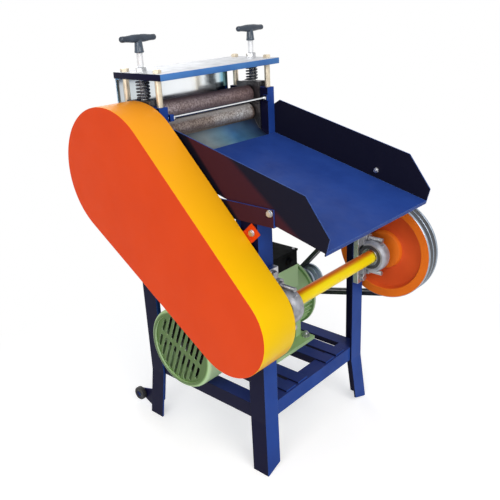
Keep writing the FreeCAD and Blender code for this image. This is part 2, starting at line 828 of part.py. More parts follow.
def chain_ends():
    """The two sprocket centres and pitch radii: jackshaft first, drive shaft second."""
    return ((jackshaft_y, jackshaft_height), sprocket_pitch_radius(small_sprocket_teeth),
            (roller_y, drive_shaft_height), sprocket_pitch_radius(large_sprocket_teeth))


def chain_angles():
    """Heading from the small to the large sprocket, and the half opening of the wrap."""
    small, small_radius, large, large_radius = chain_ends()
    heading = math.atan2(large[1] - small[1], large[0] - small[0])
    reach = math.hypot(large[0] - small[0], large[1] - small[1])
    opening = math.acos((small_radius - large_radius) / reach)
    return heading, opening


def seated_rollers(centre, radius, teeth, first, last):
    """Roller places in the tooth gaps between two angles, and the first gap's angle."""
    step = 2 * math.pi / teeth
    count = math.ceil((last - first) / step)
    start = (first + last) / 2 - step * count / 2
    return [(centre[0] + radius * math.cos(start + step * i),
             centre[1] + radius * math.sin(start + step * i)) for i in range(count + 1)], start


def chain_roller_places():
    """Roller centres around the loop: seated on the sprockets and even between them."""
    small, small_radius, large, large_radius = chain_ends()
    heading, opening = chain_angles()
    on_small, _ = seated_rollers(small, small_radius, small_sprocket_teeth,
                                 heading + opening, heading + 2 * math.pi - opening)
    on_large, _ = seated_rollers(large, large_radius, large_sprocket_teeth,
                                 heading - opening, heading + opening)
    seated = len(on_small) + len(on_large)
    lower_steps = round(distance_between(on_small[-1], on_large[0]) / chain_pitch)
    upper_steps = round(distance_between(on_large[-1], on_small[0]) / chain_pitch)
    if (seated + lower_steps + upper_steps) % 2:
        upper_steps += 1
    return (on_small + run_between(on_small[-1], on_large[0], lower_steps)
            + on_large + run_between(on_large[-1], on_small[0], upper_steps))


def distance_between(start, end):
    return math.hypot(end[0] - start[0], end[1] - start[1])


def run_between(start, end, steps):
    """Even roller places on a free run of the chain, without its two ends."""
    return [(start[0] + (end[0] - start[0]) * i / steps,
             start[1] + (end[1] - start[1]) * i / steps) for i in range(1, steps)]


def link_plate(start, end, x0, x1):
    """One link plate: round ends at the two pins and a narrower waist."""
    length = distance_between(start, end)
    tilt = math.degrees(math.atan2(end[1] - start[1], end[0] - start[0]))
    waist = box(x0, x1, 0, length, -chain_plate_waist, chain_plate_waist)
    plate = fused([rod_x(chain_plate_radius, x0, x1, 0, 0),
                   rod_x(chain_plate_radius, x0, x1, length, 0), waist])
    plate.rotate(Vector(0, 0, 0), X_AXIS, tilt)
    plate.translate(Vector(0, start[0], start[1]))
    return plate


def inner_link(start, end):
    """Two plates joined by the bushes and rollers at their ends, bored for the pins."""
    half = chain_inner_width / 2
    reach = half + chain_plate_thickness
    link = fused([link_plate(start, end, chain_plane - reach, chain_plane - half),
                  link_plate(start, end, chain_plane + half, chain_plane + reach)]
                 + [rod_x(chain_roller_radius, chain_plane - reach, chain_plane + reach, y, z)
                    for y, z in (start, end)])
    for y, z in (start, end):
        link = link.cut(rod_x(chain_pin_radius + running_fit, chain_plane - reach,
                              chain_plane + reach, y, z))
    return link


def outer_link(start, end):
    """Two plates joined by the pins that run through the neighbouring inner links."""
    low = chain_inner_width / 2 + chain_plate_thickness + link_gap
    high = low + chain_plate_thickness
    return fused([link_plate(start, end, chain_plane - high, chain_plane - low),
                  link_plate(start, end, chain_plane + low, chain_plane + high)]
                 + [rod_x(chain_pin_radius, chain_plane - high - link_gap,
                          chain_plane + high + link_gap, y, z) for y, z in (start, end)])


def drive_chain():
    """Roller chain around both sprockets, of inner and outer links in turn."""
    places = chain_roller_places()
    links = []
    for i, start in enumerate(places):
        end = places[(i + 1) % len(places)]
        links.append(inner_link(start, end) if i % 2 else outer_link(start, end))
    return Part.makeCompound(links)


def small_sprocket():
    """Driving sprocket on the jackshaft, with a hub on its inner side."""
    heading, opening = chain_angles()
    _, phase = seated_rollers((0, 0), 1, small_sprocket_teeth,
                              heading + opening, heading + 2 * math.pi - opening)
    x0, x1 = chain_plane - sprocket_thickness / 2, chain_plane + sprocket_thickness / 2
    plate = sprocket_plate(small_sprocket_teeth, jackshaft_y, jackshaft_height,
                           x0, x1, jackshaft_radius, phase)
    hub_end = x1 + sprocket_hub_length
    hub = rod_x(small_sprocket_hub, x1, hub_end, jackshaft_y, jackshaft_height)
    hub = hub.cut(rod_x(jackshaft_radius, x1, hub_end, jackshaft_y, jackshaft_height))
    return fused([plate, hub])


def large_sprocket():
    """Driven sprocket on the drive shaft."""
    heading, opening = chain_angles()
    _, phase = seated_rollers((0, 0), 1, large_sprocket_teeth,
                              heading - opening, heading + opening)
    x0, x1 = chain_plane - sprocket_thickness / 2, chain_plane + sprocket_thickness / 2
    plate = sprocket_plate(large_sprocket_teeth, roller_y, drive_shaft_height,
                           x0, x1, drive_shaft_radius, phase)
    hub_start = x0 - sprocket_hub_length
    hub = rod_x(large_sprocket_hub, hub_start, x0, roller_y, drive_shaft_height)
    hub = hub.cut(rod_x(drive_shaft_radius, hub_start, x0, roller_y, drive_shaft_height))
    return fused([plate, hub])


# ---- gears and rollers ------------------------------------------------------------
def gear(teeth, y, z, x0, x1, bore):
    """Spur gear with involute flanks and one tooth pointing straight up."""
    pitch_radius = gear_module * teeth / 2
    base_radius = pitch_radius * math.cos(math.radians(pressure_angle))
    tip_radius = pitch_radius + gear_module
    root_radius = pitch_radius - gear_dedendum * gear_module

    def involute(radius):
        """Polar angle of the involute at a radius."""
        unwound = math.sqrt(max((radius / base_radius) ** 2 - 1, 0))
        return unwound - math.atan(unwound)

    half_tooth = (math.pi / teeth) / 2 - tooth_backlash / (2 * pitch_radius)
    flank_start = max(base_radius, root_radius)
    radii = [flank_start + (tip_radius - flank_start) * share for share in (0, 1 / 3, 2 / 3, 1)]
    right = [(root_radius, -half_tooth - involute(pitch_radius))]
    right += [(r, -half_tooth - involute(pitch_radius) + involute(r)) for r in radii]
    tooth = right + [(r, -angle) for r, angle in reversed(right)]
    outline = []
    for i in range(teeth):
        middle = math.pi / 2 + 2 * math.pi * i / teeth
        outline += [(y + r * math.cos(middle + angle), z + r * math.sin(middle + angle))
                    for r, angle in tooth]
    body = prism_x(outline, x0, x1)
    return body.cut(rod_x(bore, x0 - 1, x1 + 1, y, z))


def roller(height):
    """Feed roller: a thick body between two journals, the left one long for its gear."""
    return fused([rod_x(roller_radius, -roller_half_length, roller_half_length, roller_y, height),
                  rod_x(journal_radius, gear_start, -roller_half_length, roller_y, height),
                  rod_x(journal_radius, roller_half_length, table_half_width, roller_y, height)])


def roller_gear(height):
    return gear(roller_teeth, roller_y, height, gear_start, gear_start + gear_width,
                journal_radius)


def drive_gear():
    """Gear on the drive shaft, in mesh with the lower roller's gear."""
    return gear(drive_teeth, roller_y, drive_shaft_height, gear_start, gear_start + gear_width,
                drive_shaft_radius)


def drive_shaft():
    start = chain_plane - sprocket_thickness / 2 - sprocket_hub_length - drive_shaft_end
    return rod_x(drive_shaft_radius, start, table_half_width, roller_y, drive_shaft_height)


# ---- pressure screws --------------------------------------------------------------
def pressure_screw(side):
    """Screw from the pocket of its bearing block up through the top plate's nut."""
    tip = upper_block_top - screw_pocket + face_gap
    return rod_z(screw_radius, side * screw_x, roller_y, tip, plate_top + screw_rise)


def t_handle(side):
    """Moulded T-handle: a slightly waisted bar on a tapering round hub."""
    bar_height = plate_top + screw_rise - handle_socket + handle_hub_length
    half = handle_length / 2
    waist = handle_waist * handle_radius
    edge = handle_radius / 2
    profile = [(-half, 0), (-half, edge), (edge - half, handle_radius),
               (handle_end - half, handle_radius), (-handle_hub_radius, waist),
               (handle_hub_radius, waist), (half - handle_end, handle_radius),
               (half - edge, handle_radius), (half, edge), (half, 0)]
    bar = turned_x(profile, roller_y, bar_height)
    bar.translate(Vector(side * screw_x, 0, 0))
    hub_start = plate_top + screw_rise - handle_socket
    hub = Part.makeCone(handle_hub_radius, waist, handle_hub_length,
                        Vector(side * screw_x, roller_y, hub_start))
    body = fused([bar, hub])
    return body.cut(rod_z(screw_radius, side * screw_x, roller_y, hub_start,
                          plate_top + screw_rise))


def pressure_spring(side):
    """Compression spring between bearing block and top plate, its wire drawn with flats."""
    start = upper_block_top + face_gap + spring_wire / 2
    end = plate_underside - face_gap - spring_wire / 2
    middle_radius = spring_outer_radius - spring_wire / 2
    turns = [share / 14 for share in range(14 * spring_turns + 1)]
    around_wire = [math.radians(angle) for angle in range(0, 360, 60)]
    rings = []
    for turn in turns:
        height = start + (end - start) * turn / spring_turns
        swing = 2 * math.pi * turn
        ring = []
        for around in around_wire:
            out = middle_radius + spring_wire / 2 * math.cos(around)
            ring.append(Vector(side * screw_x + out * math.cos(swing),
                               roller_y + out * math.sin(swing),
                               height + spring_wire / 2 * math.sin(around)))
        rings.append(ring)
    faces = [flat_face(rings[0]), flat_face(rings[-1])]
    for low, high in zip(rings, rings[1:]):
        for j in range(len(ring)):
            k = (j + 1) % len(ring)
            faces.append(flat_face([low[j], low[k], high[k]]))
            faces.append(flat_face([low[j], high[k], high[j]]))
    shell = Part.Shell(faces)
    shell.sewShape()
    return Part.Solid(shell)


def flat_face(corners):
    return Part.Face(Part.makePolygon(corners + corners[:1]))


# ---- jackshaft and its bearings ---------------------------------------------------
def mount_plate_x(side):
    """Middle of the front leg's front flange, where a mounting plate is bolted."""
    return stand_centre + side * (stand_half_width - mount_plate_width / 2 - mount_plate_inset)


def mount_plates():
    """Thick plates bolted to the front legs, tapped for the bearing studs."""
    plates = []
    for side, x in bearing_places:
        middle = mount_plate_x(side)
        plate = box(middle - mount_plate_width / 2, middle + mount_plate_width / 2,
                    bearing_base, -stand_half_depth,
                    jackshaft_height - mount_plate_half_height,
                    jackshaft_height + mount_plate_half_height)
        for rise in (-leg_bolt_spread, leg_bolt_spread):
            plate = plate.cut(rod_y_axis(m12_hole, middle, bearing_base - 1,
                                         -stand_half_depth + 1, jackshaft_height + rise))
        for rise in (-pillow_bolt_spread, pillow_bolt_spread):
            plate = plate.cut(rod_y_axis(tie_bolt_radius, x, bearing_base - 1,
                                         -stand_half_depth + 1, jackshaft_height + rise))
        plates.append(plate)
    return Part.makeCompound(plates)


def pillow_block(x):
    """Cast bearing housing: two feet with round ends and a crowned arch."""
    half = pillow_width / 2
    crown = pillow_radius - pillow_face_radius
    arch = turned_x([(-half, 0), (-half, pillow_face_radius),
                     (-half + crown, pillow_radius - crown / 4),
                     (-crown / 2, pillow_radius), (crown / 2, pillow_radius),
                     (half - crown, pillow_radius - crown / 4), (half, pillow_face_radius),
                     (half, 0)], jackshaft_y, jackshaft_height)
    arch.translate(Vector(x, 0, 0))
    arch = arch.cut(box(x - half, x + half, bearing_base, bearing_base + pillow_radius,
                        jackshaft_height - pillow_radius, jackshaft_height + pillow_radius))
    foot = box(x - half, x + half, bearing_base - pillow_foot, bearing_base,
               jackshaft_height - pillow_half_length, jackshaft_height + pillow_half_length)
    ends = [edge for edge in foot.Edges
            if abs(edge.tangentAt(edge.FirstParameter).y) > 0.9]
    housing = fused([arch, foot.makeFillet(pillow_foot_round, ends)])
    housing = housing.cut(rod_x(inner_ring_radius + running_fit, x - half - 1, x + half + 1,
                                jackshaft_y, jackshaft_height))
    for rise in (-pillow_bolt_spread, pillow_bolt_spread):
        housing = housing.cut(rod_y_axis(m12_hole, x, bearing_base - pillow_foot,
                                         bearing_base, jackshaft_height + rise))
        seat = rod_y_axis(m12_flats / math.sqrt(3) + bolt_clearance, x,
                          bearing_base - pillow_height - pillow_radius,
                          bearing_base - pillow_foot, jackshaft_height + rise)
        housing = housing.cut(seat)
    return housing


def pillow_blocks():
    return Part.makeCompound([pillow_block(x) for _, x in bearing_places])


def bearing_bolts():
    """Studs and nuts of the bearings, and the bolts and nuts of their plates."""
    pieces = []
    leg_back = -stand_half_depth + leg_thickness
    leg_grip = mount_plate_thickness + leg_thickness + m12_head + thread_end
    for side, x in bearing_places:
        for rise in (-1, 1):
            z = jackshaft_height + rise * pillow_bolt_spread
            pieces.append(rod_y_axis(tie_bolt_radius, x, bearing_base - pillow_stud_length,
                                     -stand_half_depth, z))
            pieces.append(nut(tie_bolt_radius, m12_flats, m12_head,
                              Vector(x, bearing_base - pillow_foot, z), -Y_AXIS))
            z = jackshaft_height + rise * leg_bolt_spread
            pieces.append(bolt(tie_bolt_radius, m12_flats, m12_head,
                               Vector(mount_plate_x(side), bearing_base, z), -Y_AXIS, leg_grip))
            pieces.append(nut(tie_bolt_radius, m12_flats, m12_head,
                              Vector(mount_plate_x(side), leg_back, z), Y_AXIS))
    return Part.makeCompound(pieces)


def bearing_inner_rings():
    """Inner rings of the two bearings, which turn with the jackshaft."""
    rings = []
    for _, x in bearing_places:
        ring = rod_x(inner_ring_radius, x - inner_ring_width / 2, x + inner_ring_width / 2,
                     jackshaft_y, jackshaft_height)
        rings.append(ring.cut(rod_x(jackshaft_radius, x - inner_ring_width / 2,
                                    x + inner_ring_width / 2, jackshaft_y, jackshaft_height)))
    return Part.makeCompound(rings)


def jackshaft():
    start = chain_plane - sprocket_thickness / 2 - jackshaft_end
    return rod_x(jackshaft_radius, start, pulley_end + jackshaft_end,
                 jackshaft_y, jackshaft_height)


# ---- belt drive -------------------------------------------------------------------
def groove_places():
    middle = pulley_start + pulley_width / 2
    return (middle - groove_pitch / 2, middle + groove_pitch / 2)


def rim_profile(radius):
    """Outer line of a two-groove rim, from its left to its right edge."""
    slope = math.tan(math.radians(groove_half_angle))
    side_play = belt_clearance / math.cos(math.radians(groove_half_angle))
    top = belt_top_width / 2 + belt_sink * slope + side_play
    bottom = top - groove_depth * slope
    line = [(pulley_start, radius)]
    for x in groove_places():
        line += [(x - top, radius), (x - bottom, radius - groove_depth),
                 (x + bottom, radius - groove_depth), (x + top, radius)]
    return line + [(pulley_end, radius)]


def big_pulley():
    """Cast pulley: grooved rim, plain web set back from both faces, and a wide hub."""
    web_start = pulley_start + big_pulley_recess
    web_end = pulley_end - big_pulley_recess
    draft = casting_draft
    profile = [(pulley_start, jackshaft_radius), (pulley_start, big_pulley_hub - draft),
               (pulley_start + draft, big_pulley_hub), (web_start, big_pulley_hub + draft),
               (web_start, big_pulley_rim_inner - draft), (pulley_start, big_pulley_rim_inner)]
    profile += rim_profile(big_pulley_radius)
    profile += [(pulley_end, big_pulley_rim_inner), (web_end, big_pulley_rim_inner - draft),
                (web_end, big_pulley_hub + draft), (pulley_end, big_pulley_hub),
                (pulley_end, jackshaft_radius)]
    return turned_x(profile, jackshaft_y, jackshaft_height)


def motor_pulley():
    """Small two-groove pulley with a hub towards the motor."""
    profile = [(motor_pulley_hub_start, rotor_radius), (motor_pulley_hub_start, motor_pulley_hub),
               (pulley_start, motor_pulley_hub)]
    profile += rim_profile(motor_pulley_radius)
    profile += [(pulley_end, rotor_radius)]
    return turned_x(profile, motor_y, motor_height)


def v_belts():
    """Two V-belts, each a trapezoid swept around both pulleys."""
    slope = math.tan(math.radians(groove_half_angle))
    belts = []
    for x in groove_places():
        big = big_pulley_radius - belt_sink
        small = motor_pulley_radius - belt_sink
        path = two_circle_wire((jackshaft_y, jackshaft_height), big,
                               (motor_y, motor_height), small, x)
        start = path.Edges[1].Vertexes[0].Point
        along = path.Edges[1].tangentAt(path.Edges[1].FirstParameter)
        inward = X_AXIS.cross(along).normalize()
        centre = Vector(x, jackshaft_y, jackshaft_height)
        if inward.dot(centre - start) < 0:
            inward = inward * -1
        top = belt_top_width / 2
        bottom = top - belt_height * slope
        corners = [start - X_AXIS * top, start + X_AXIS * top,
                   start + inward * belt_height + X_AXIS * bottom,
                   start + inward * belt_height - X_AXIS * bottom]
        section = Part.makePolygon(corners + corners[:1])
        edges = path.Edges
        route = Part.Wire(edges[1:] + edges[:1])
        belts.append(route.makePipeShell([section], True, False))
    return Part.makeCompound(belts)


# ---- motor ------------------------------------------------------------------------
def motor_fins():
    """Lengthwise fins all around the barrel except on its smooth side."""
    fins = []
    for i in range(int(360 / motor_fin_step)):
        angle = i * motor_fin_step
        if motor_smooth_from <= angle <= motor_smooth_to:
            continue
        fin = box(motor_rear, motor_front, motor_y - motor_fin_thickness / 2,
                  motor_y + motor_fin_thickness / 2,
                  motor_height + motor_barrel_radius - motor_fin_thickness,
                  motor_height + motor_fin_radius)
        fin.rotate(Vector(0, motor_y, motor_height), X_AXIS, angle - 90)
        fins.append(fin)
    return fins


def motor_smooth_side():
    """Plain sector of the barrel's skin, level with the fins."""
    skin = rod_x(motor_smooth_radius, motor_rear, motor_front, motor_y, motor_height)
    reach = 2 * motor_fin_radius
    middle = (motor_smooth_from + motor_smooth_to) / 2
    corners = [(motor_y + reach * math.cos(math.radians(angle)),
                motor_height + reach * math.sin(math.radians(angle)))
               for angle in (motor_smooth_from, middle, motor_smooth_to)]
    return skin.common(prism_x([(motor_y, motor_height)] + corners, motor_rear, motor_front))


def motor_feet_casting():
    """Foot plate with two webs on each side up to the barrel."""
    parts = [box(foot_start, foot_end, motor_y - foot_half_width, motor_y + foot_half_width,
                 motor_feet, motor_feet + foot_thickness)]
    for x in foot_bolt_x:
        for side in (-1, 1):
            inner = motor_y + side * motor_barrel_radius / 2
            outer = motor_y + side * (foot_bolt_y - m12_flats)
            outline = [(inner, motor_feet), (outer, motor_feet),
                       (outer, motor_height - motor_barrel_radius / 2),
                       (inner, motor_height - motor_barrel_radius / 2)]
            start = x - foot_web if x > 0 else x
            parts.append(prism_x(outline, start, start + foot_web))
    return parts


def motor_housing():
    """Cast barrel with fins, a pad under the terminal box and feet."""
    barrel = rod_x(motor_barrel_radius, motor_rear, motor_front, motor_y, motor_height)
    pad = box(box_start + pad_margin, box_end + pad_margin, box_front, box_back,
              motor_height + motor_barrel_radius / 2, box_floor)
    body = fused([barrel, motor_smooth_side(), pad] + motor_fins() + motor_feet_casting())
    body = body.cut(rod_x(rotor_radius + bolt_clearance, motor_rear - 1, motor_front + 1,
                          motor_y, motor_height))
    for x in foot_bolt_x:
        for side in (-1, 1):
            body = body.cut(rod_z(m12_hole, x, motor_y + side * foot_bolt_y, motor_feet - 1,
                                  motor_feet + foot_thickness + 1))
    return body


def motor_end_bell():
    """Drive-end cover: a flange, a domed face and the bearing boss."""
    flange_end = motor_front + bell_flange
    bell_end = flange_end + bell_length
    bore = rotor_radius + running_fit
    return turned_x([(motor_front, bore), (motor_front, bell_radius), (flange_end, bell_radius),
                     (flange_end + bell_length / 4, bell_radius - bell_step),
                     (flange_end + bell_length / 2, bell_boss_radius + bell_step),
                     (flange_end + bell_length / 2, bell_boss_radius),
                     (bell_end, bell_boss_radius - casting_draft), (bell_end, bore)],
                    motor_y, motor_height)


def cowl_solid(start, radius, corner, end, recess):
    """A drum with a round edge and a disc set back inside it, along X."""
    inset = corner * (1 - math.sqrt(0.5))
    disc = start + grille_set_back
    face = Vector(disc, 0, 0)
    disc_edge = Vector(disc, recess, 0)
    ring_edge = Vector(start, recess, 0)
    face_edge = Vector(start, radius - corner, 0)
    corner_middle = Vector(start + inset, radius - inset, 0)
    side_start = Vector(start + corner, radius, 0)
    side_end = Vector(end, radius, 0)
    middle = Vector(end, 0, 0)
    outline = Part.Wire([Part.LineSegment(face, disc_edge).toShape(),
                         Part.LineSegment(disc_edge, ring_edge).toShape(),
                         Part.LineSegment(ring_edge, face_edge).toShape(),
                         Part.Arc(face_edge, corner_middle, side_start).toShape(),
                         Part.LineSegment(side_start, side_end).toShape(),
                         Part.LineSegment(side_end, middle).toShape(),
                         Part.LineSegment(middle, face).toShape()])
    solid = Part.Face(outline).revolve(Vector(0, 0, 0), X_AXIS, 360)
    solid.translate(Vector(0, motor_y, motor_height))
    return solid


def motor_fan_cowl():
    """Sheet fan cover with a rounded edge and rows of slots in its end."""
    lap_end = motor_rear + cowl_lap
    shell = cowl_solid(cowl_end, cowl_radius, cowl_corner, lap_end, grille_recess)
    shell = shell.cut(cowl_solid(cowl_end + cowl_sheet, cowl_radius - cowl_sheet,
                                 cowl_corner - cowl_sheet, motor_rear,
                                 grille_recess + cowl_sheet))
    shell = shell.cut(rod_x(motor_fin_radius + face_gap, motor_rear, lap_end,
                            motor_y, motor_height))
    return shell.cut(Part.makeCompound(grille_slots()))


def grille_slots():
    """Two rows of tilted slots that end on the grille's circle."""
    slots = []
    count = int((grille_radius - slot_width) / slot_step)
    for i in range(-count, count + 1):
        across = i * slot_step
        reach = math.sqrt(grille_radius ** 2 - (abs(across) + slot_width / 2) ** 2)
        if reach > grille_strip + 2 * slot_width:
            slots.append(grille_slot(across, grille_strip, reach))
            slots.append(grille_slot(across, -reach, -grille_strip))
    return slots


def grille_slot(across, low, high):
    """One round-ended slot through the cowl's end."""
    x0 = cowl_end - 1
    edge = slot_width / 2
    left_low, left_high = Vector(x0, across - edge, low), Vector(x0, across - edge, high)
    right_low, right_high = Vector(x0, across + edge, low), Vector(x0, across + edge, high)
    wire = Part.Wire([Part.LineSegment(left_low, left_high).toShape(),
                      Part.Arc(left_high, Vector(x0, across, high + edge),
                               right_high).toShape(),
                      Part.LineSegment(right_high, right_low).toShape(),
                      Part.Arc(right_low, Vector(x0, across, low - edge), left_low).toShape()])
    slot = Part.Face(wire).extrude(Vector(grille_set_back + cowl_sheet + 2, 0, 0))
    slot.rotate(Vector(0, 0, 0), X_AXIS, grille_tilt)
    slot.translate(Vector(0, motor_y, motor_height))
    return slot


def cooling_fan():
    """Radial fan on the rear end of the rotor shaft."""
    start = cowl_end + cowl_sheet + fan_gap
    end = start + fan_width
    pieces = [rod_x(fan_hub_radius, start, end, motor_y, motor_height),
              rod_x(fan_radius, end - fan_sheet, end, motor_y, motor_height)]
    for i in range(fan_blades):
        blade = box(start, end, motor_y - fan_sheet / 2, motor_y + fan_sheet / 2,
                    motor_height + rotor_radius, motor_height + fan_radius)
        blade.rotate(Vector(0, motor_y, motor_height), X_AXIS, 360 * i / fan_blades)
        pieces.append(blade)
    body = fused(pieces)
    return body.cut(rod_x(rotor_radius, start - 1, end + 1, motor_y, motor_height))


def rotor_shaft():
    return rod_x(rotor_radius, cowl_end + cowl_sheet + fan_gap, pulley_end, motor_y, motor_height)


def terminal_box():
    """Open box on the motor's pad, with a cable gland in its front wall."""
    body = box(box_start, box_end, box_front, box_back, box_floor, box_floor + box_height)
    body = body.cut(box(box_start + box_wall, box_end - box_wall, box_front + box_wall,
                        box_back - box_wall, box_floor + box_wall, box_floor + box_height + 1))
    gland_x = box_end - gland_inset
    gland_z = box_floor + box_height / 2
    gland = fused([rod_y_axis(gland_radius, gland_x, box_front - gland_length, box_front,
                              gland_z),
                   hexagon(m16_flats, Vector(gland_x, box_front, gland_z), -Y_AXIS,
                           gland_length / 2)])
    return fused([body, gland])


def terminal_box_lid():
    """Lid that overhangs the box on every side."""
    over = box_lid_overhang
    return box(box_start - over, box_end + over, box_front - over, box_back + over,
               box_floor + box_height, box_floor + box_height + box_lid)


def motor_bolts():
    """Bolts and nuts that hold the motor's feet to the slats."""
    pieces = []
    seat = motor_feet + foot_thickness
    for x in foot_bolt_x:
        for side in (-1, 1):
            y = motor_y + side * foot_bolt_y
            pieces.append(bolt(tie_bolt_radius, m12_flats, m12_head, Vector(x, y, seat), Z_AXIS,
                               foot_thickness + slat_thickness + m12_head + thread_end))
            pieces.append(nut(tie_bolt_radius, m12_flats, m12_head,
                              Vector(x, y, shelf_height), -Z_AXIS))
    return Part.makeCompound(pieces)


# ---- transport wheels -------------------------------------------------------------
def leg_back_face(height):
    """Back face of a back leg at a height below the bend."""
    bend = shelf_height - rail_size
    return stand_half_depth + foot_splay * (bend - height) / bend


def wheel_bracket_plate(side):
    """Bracket welded behind a back leg, with the wheel's pin pointing outwards."""
    outer = stand_half_width - face_gap
    inner = outer - wheel_bracket
    web = prism_x([(leg_back_face(wheel_bracket_rise), wheel_bracket_rise),
                   (wheel_y, wheel_height + wheel_boss_radius),
                   (wheel_y, wheel_height - wheel_boss_radius),
                   (leg_back_face(wheel_bracket_foot), wheel_bracket_foot)], inner, outer)
    boss = rod_x(wheel_boss_radius, inner, outer, wheel_y, wheel_height)
    head_start = outer + wheel_width + 2 * face_gap
    head_end = head_start + wheel_pin_head
    pin = rod_x(wheel_pin_radius, outer, head_end, wheel_y, wheel_height)
    head = rod_x(wheel_pin_radius + wheel_pin_head, head_start, head_end, wheel_y, wheel_height)
    body = fused([web, boss, pin, head])
    if side < 0:
        body = mirrored_x(body)
    body.translate(Vector(stand_centre, 0, 0))
    return body


def wheel(side):
    """Transport wheel on its pin, outside the bracket."""
    start = stand_half_width
    end = start + wheel_width
    body = rod_x(wheel_radius, start, end, wheel_y, wheel_height)
    body = body.cut(rod_x(wheel_pin_radius + running_fit, start - 1, end + 1,
                          wheel_y, wheel_height))
    if side < 0:
        body = mirrored_x(body)
    body.translate(Vector(stand_centre, 0, 0))
    return body


# ---- the assembly -----------------------------------------------------------------
def pieces():
    """Every node of the machine by name."""
    left_table_rail = table_rail()
    left_cheek = cheek()
    return {
        "front_left_leg": leg(-1, -1),
        "front_right_leg": leg(1, -1),
        "back_left_leg": leg(-1, 1),
        "back_right_leg": leg(1, 1),
        "shelf_front_rail": shelf_cross_rail(-1),
        "shelf_back_rail": shelf_cross_rail(1),
        "shelf_left_rail": shelf_side_rail(-1),
        "shelf_right_rail": shelf_side_rail(1),
        "shelf_slats": shelf_slats(),
        "left_table_rail": left_table_rail,
        "right_table_rail": mirrored_x(left_table_rail),
        "left_cheek": left_cheek,
        "right_cheek": mirrored_x(left_cheek),
        "top_plate": top_plate(),
        "tie_bolts": tie_bolts(),
        "tie_spacers": tie_spacers(),
        "screw_nuts": screw_nuts(),
        "back_panel": back_panel(),
        "lower_bearing_blocks": lower_bearing_blocks(),
        "upper_bearing_blocks": upper_bearing_blocks(),
        "drive_shaft_bushes": drive_shaft_bushes(),
        "guide_rod": guide_rod(),
        "apron": apron(),
        "feed_tray": feed_tray(),
        "frame_bolts": frame_bolts(),
        "chain_guard": chain_guard(),
        "drive_chain": drive_chain(),
        "small_sprocket": small_sprocket(),
        "large_sprocket": large_sprocket(),
        "drive_gear": drive_gear(),
        "drive_shaft": drive_shaft(),
        "lower_roller": roller(lower_roller_height),
        "upper_roller": roller(upper_roller_height),
        "lower_roller_gear": roller_gear(lower_roller_height),
        "upper_roller_gear": roller_gear(upper_roller_height),
        "left_screw": pressure_screw(-1),
        "right_screw": pressure_screw(1),
        "left_t_handle": t_handle(-1),
        "right_t_handle": t_handle(1),
        "pressure_springs": Part.makeCompound([pressure_spring(-1), pressure_spring(1)]),
        "mount_plates": mount_plates(),
        "pillow_blocks": pillow_blocks(),
        "bearing_bolts": bearing_bolts(),
        "bearing_inner_rings": bearing_inner_rings(),
        "jackshaft": jackshaft(),
        "big_pulley": big_pulley(),
        "motor_pulley": motor_pulley(),
        "v_belts": v_belts(),
        "motor_housing": motor_housing(),
        "motor_end_bell": motor_end_bell(),
        "motor_fan_cowl": motor_fan_cowl(),
        "cooling_fan": cooling_fan(),
        "rotor_shaft": rotor_shaft(),
        "terminal_box": terminal_box(),
        "terminal_box_lid": terminal_box_lid(),
        "motor_bolts": motor_bolts(),
        "wheel_brackets": Part.makeCompound([wheel_bracket_plate(-1), wheel_bracket_plate(1)]),
        "left_wheel": wheel(-1),
        "right_wheel": wheel(1),
    }


def footprint_shift():
    """Move from the stand's centre line to the middle of the whole footprint."""
    right = pulley_end + jackshaft_end
    back = wheel_y + wheel_radius
    front = tray_front - tray_front_wall * tray_tan * tray_cos
    return Vector(-(guard_outer + right) / 2, -(front + back) / 2, 0)


os.makedirs("parts", exist_ok=True)
shift = footprint_shift()
for name, shape in pieces().items():
    shape.translate(shift)
    shape.exportStep("parts/" + name + ".step")
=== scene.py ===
import bpy
import bmesh
import math
from mathutils import Matrix, Vector


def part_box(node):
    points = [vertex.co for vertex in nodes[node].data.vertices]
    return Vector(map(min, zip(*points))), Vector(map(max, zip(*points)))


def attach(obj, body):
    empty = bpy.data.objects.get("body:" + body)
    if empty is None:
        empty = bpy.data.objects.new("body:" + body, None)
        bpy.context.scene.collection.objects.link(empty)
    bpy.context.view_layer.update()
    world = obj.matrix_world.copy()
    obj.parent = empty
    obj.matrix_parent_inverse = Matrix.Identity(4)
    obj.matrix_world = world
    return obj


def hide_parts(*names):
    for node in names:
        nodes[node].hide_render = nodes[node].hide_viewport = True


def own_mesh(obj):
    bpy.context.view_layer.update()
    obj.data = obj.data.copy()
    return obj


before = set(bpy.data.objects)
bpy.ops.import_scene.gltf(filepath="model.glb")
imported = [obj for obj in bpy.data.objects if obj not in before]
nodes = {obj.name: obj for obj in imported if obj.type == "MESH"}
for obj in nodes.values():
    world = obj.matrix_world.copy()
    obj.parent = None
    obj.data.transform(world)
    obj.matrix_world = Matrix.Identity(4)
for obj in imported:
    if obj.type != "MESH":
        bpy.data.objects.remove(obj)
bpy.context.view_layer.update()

scene = bpy.context.scene
scene.view_settings.view_transform = "Standard"

# ---- camera ----
# A standing person's view from the guard's side, a little above the top plate.  The
# lens and place were found from the corners of the stand, the tray and the guard.
camera_place = Vector((-1.19875, -1.05107, 1.15012))
right = Vector((0.6615, -0.7486, -0.0444)).normalized()
back = -Vector((0.6869, 0.6286, -0.3647)).normalized()
up = back.cross(right).normalized()
right = up.cross(back)
lens = bpy.data.cameras.new("camera")
lens.sensor_width = 36.0
lens.lens = 45.78
lens.clip_end = 60.0
camera = bpy.data.objects.new("camera", lens)
turn = Matrix((right, up, back)).transposed().to_4x4()
camera.matrix_world = Matrix.Translation(camera_place) @ turn
scene.collection.objects.link(camera)
scene.camera = camera

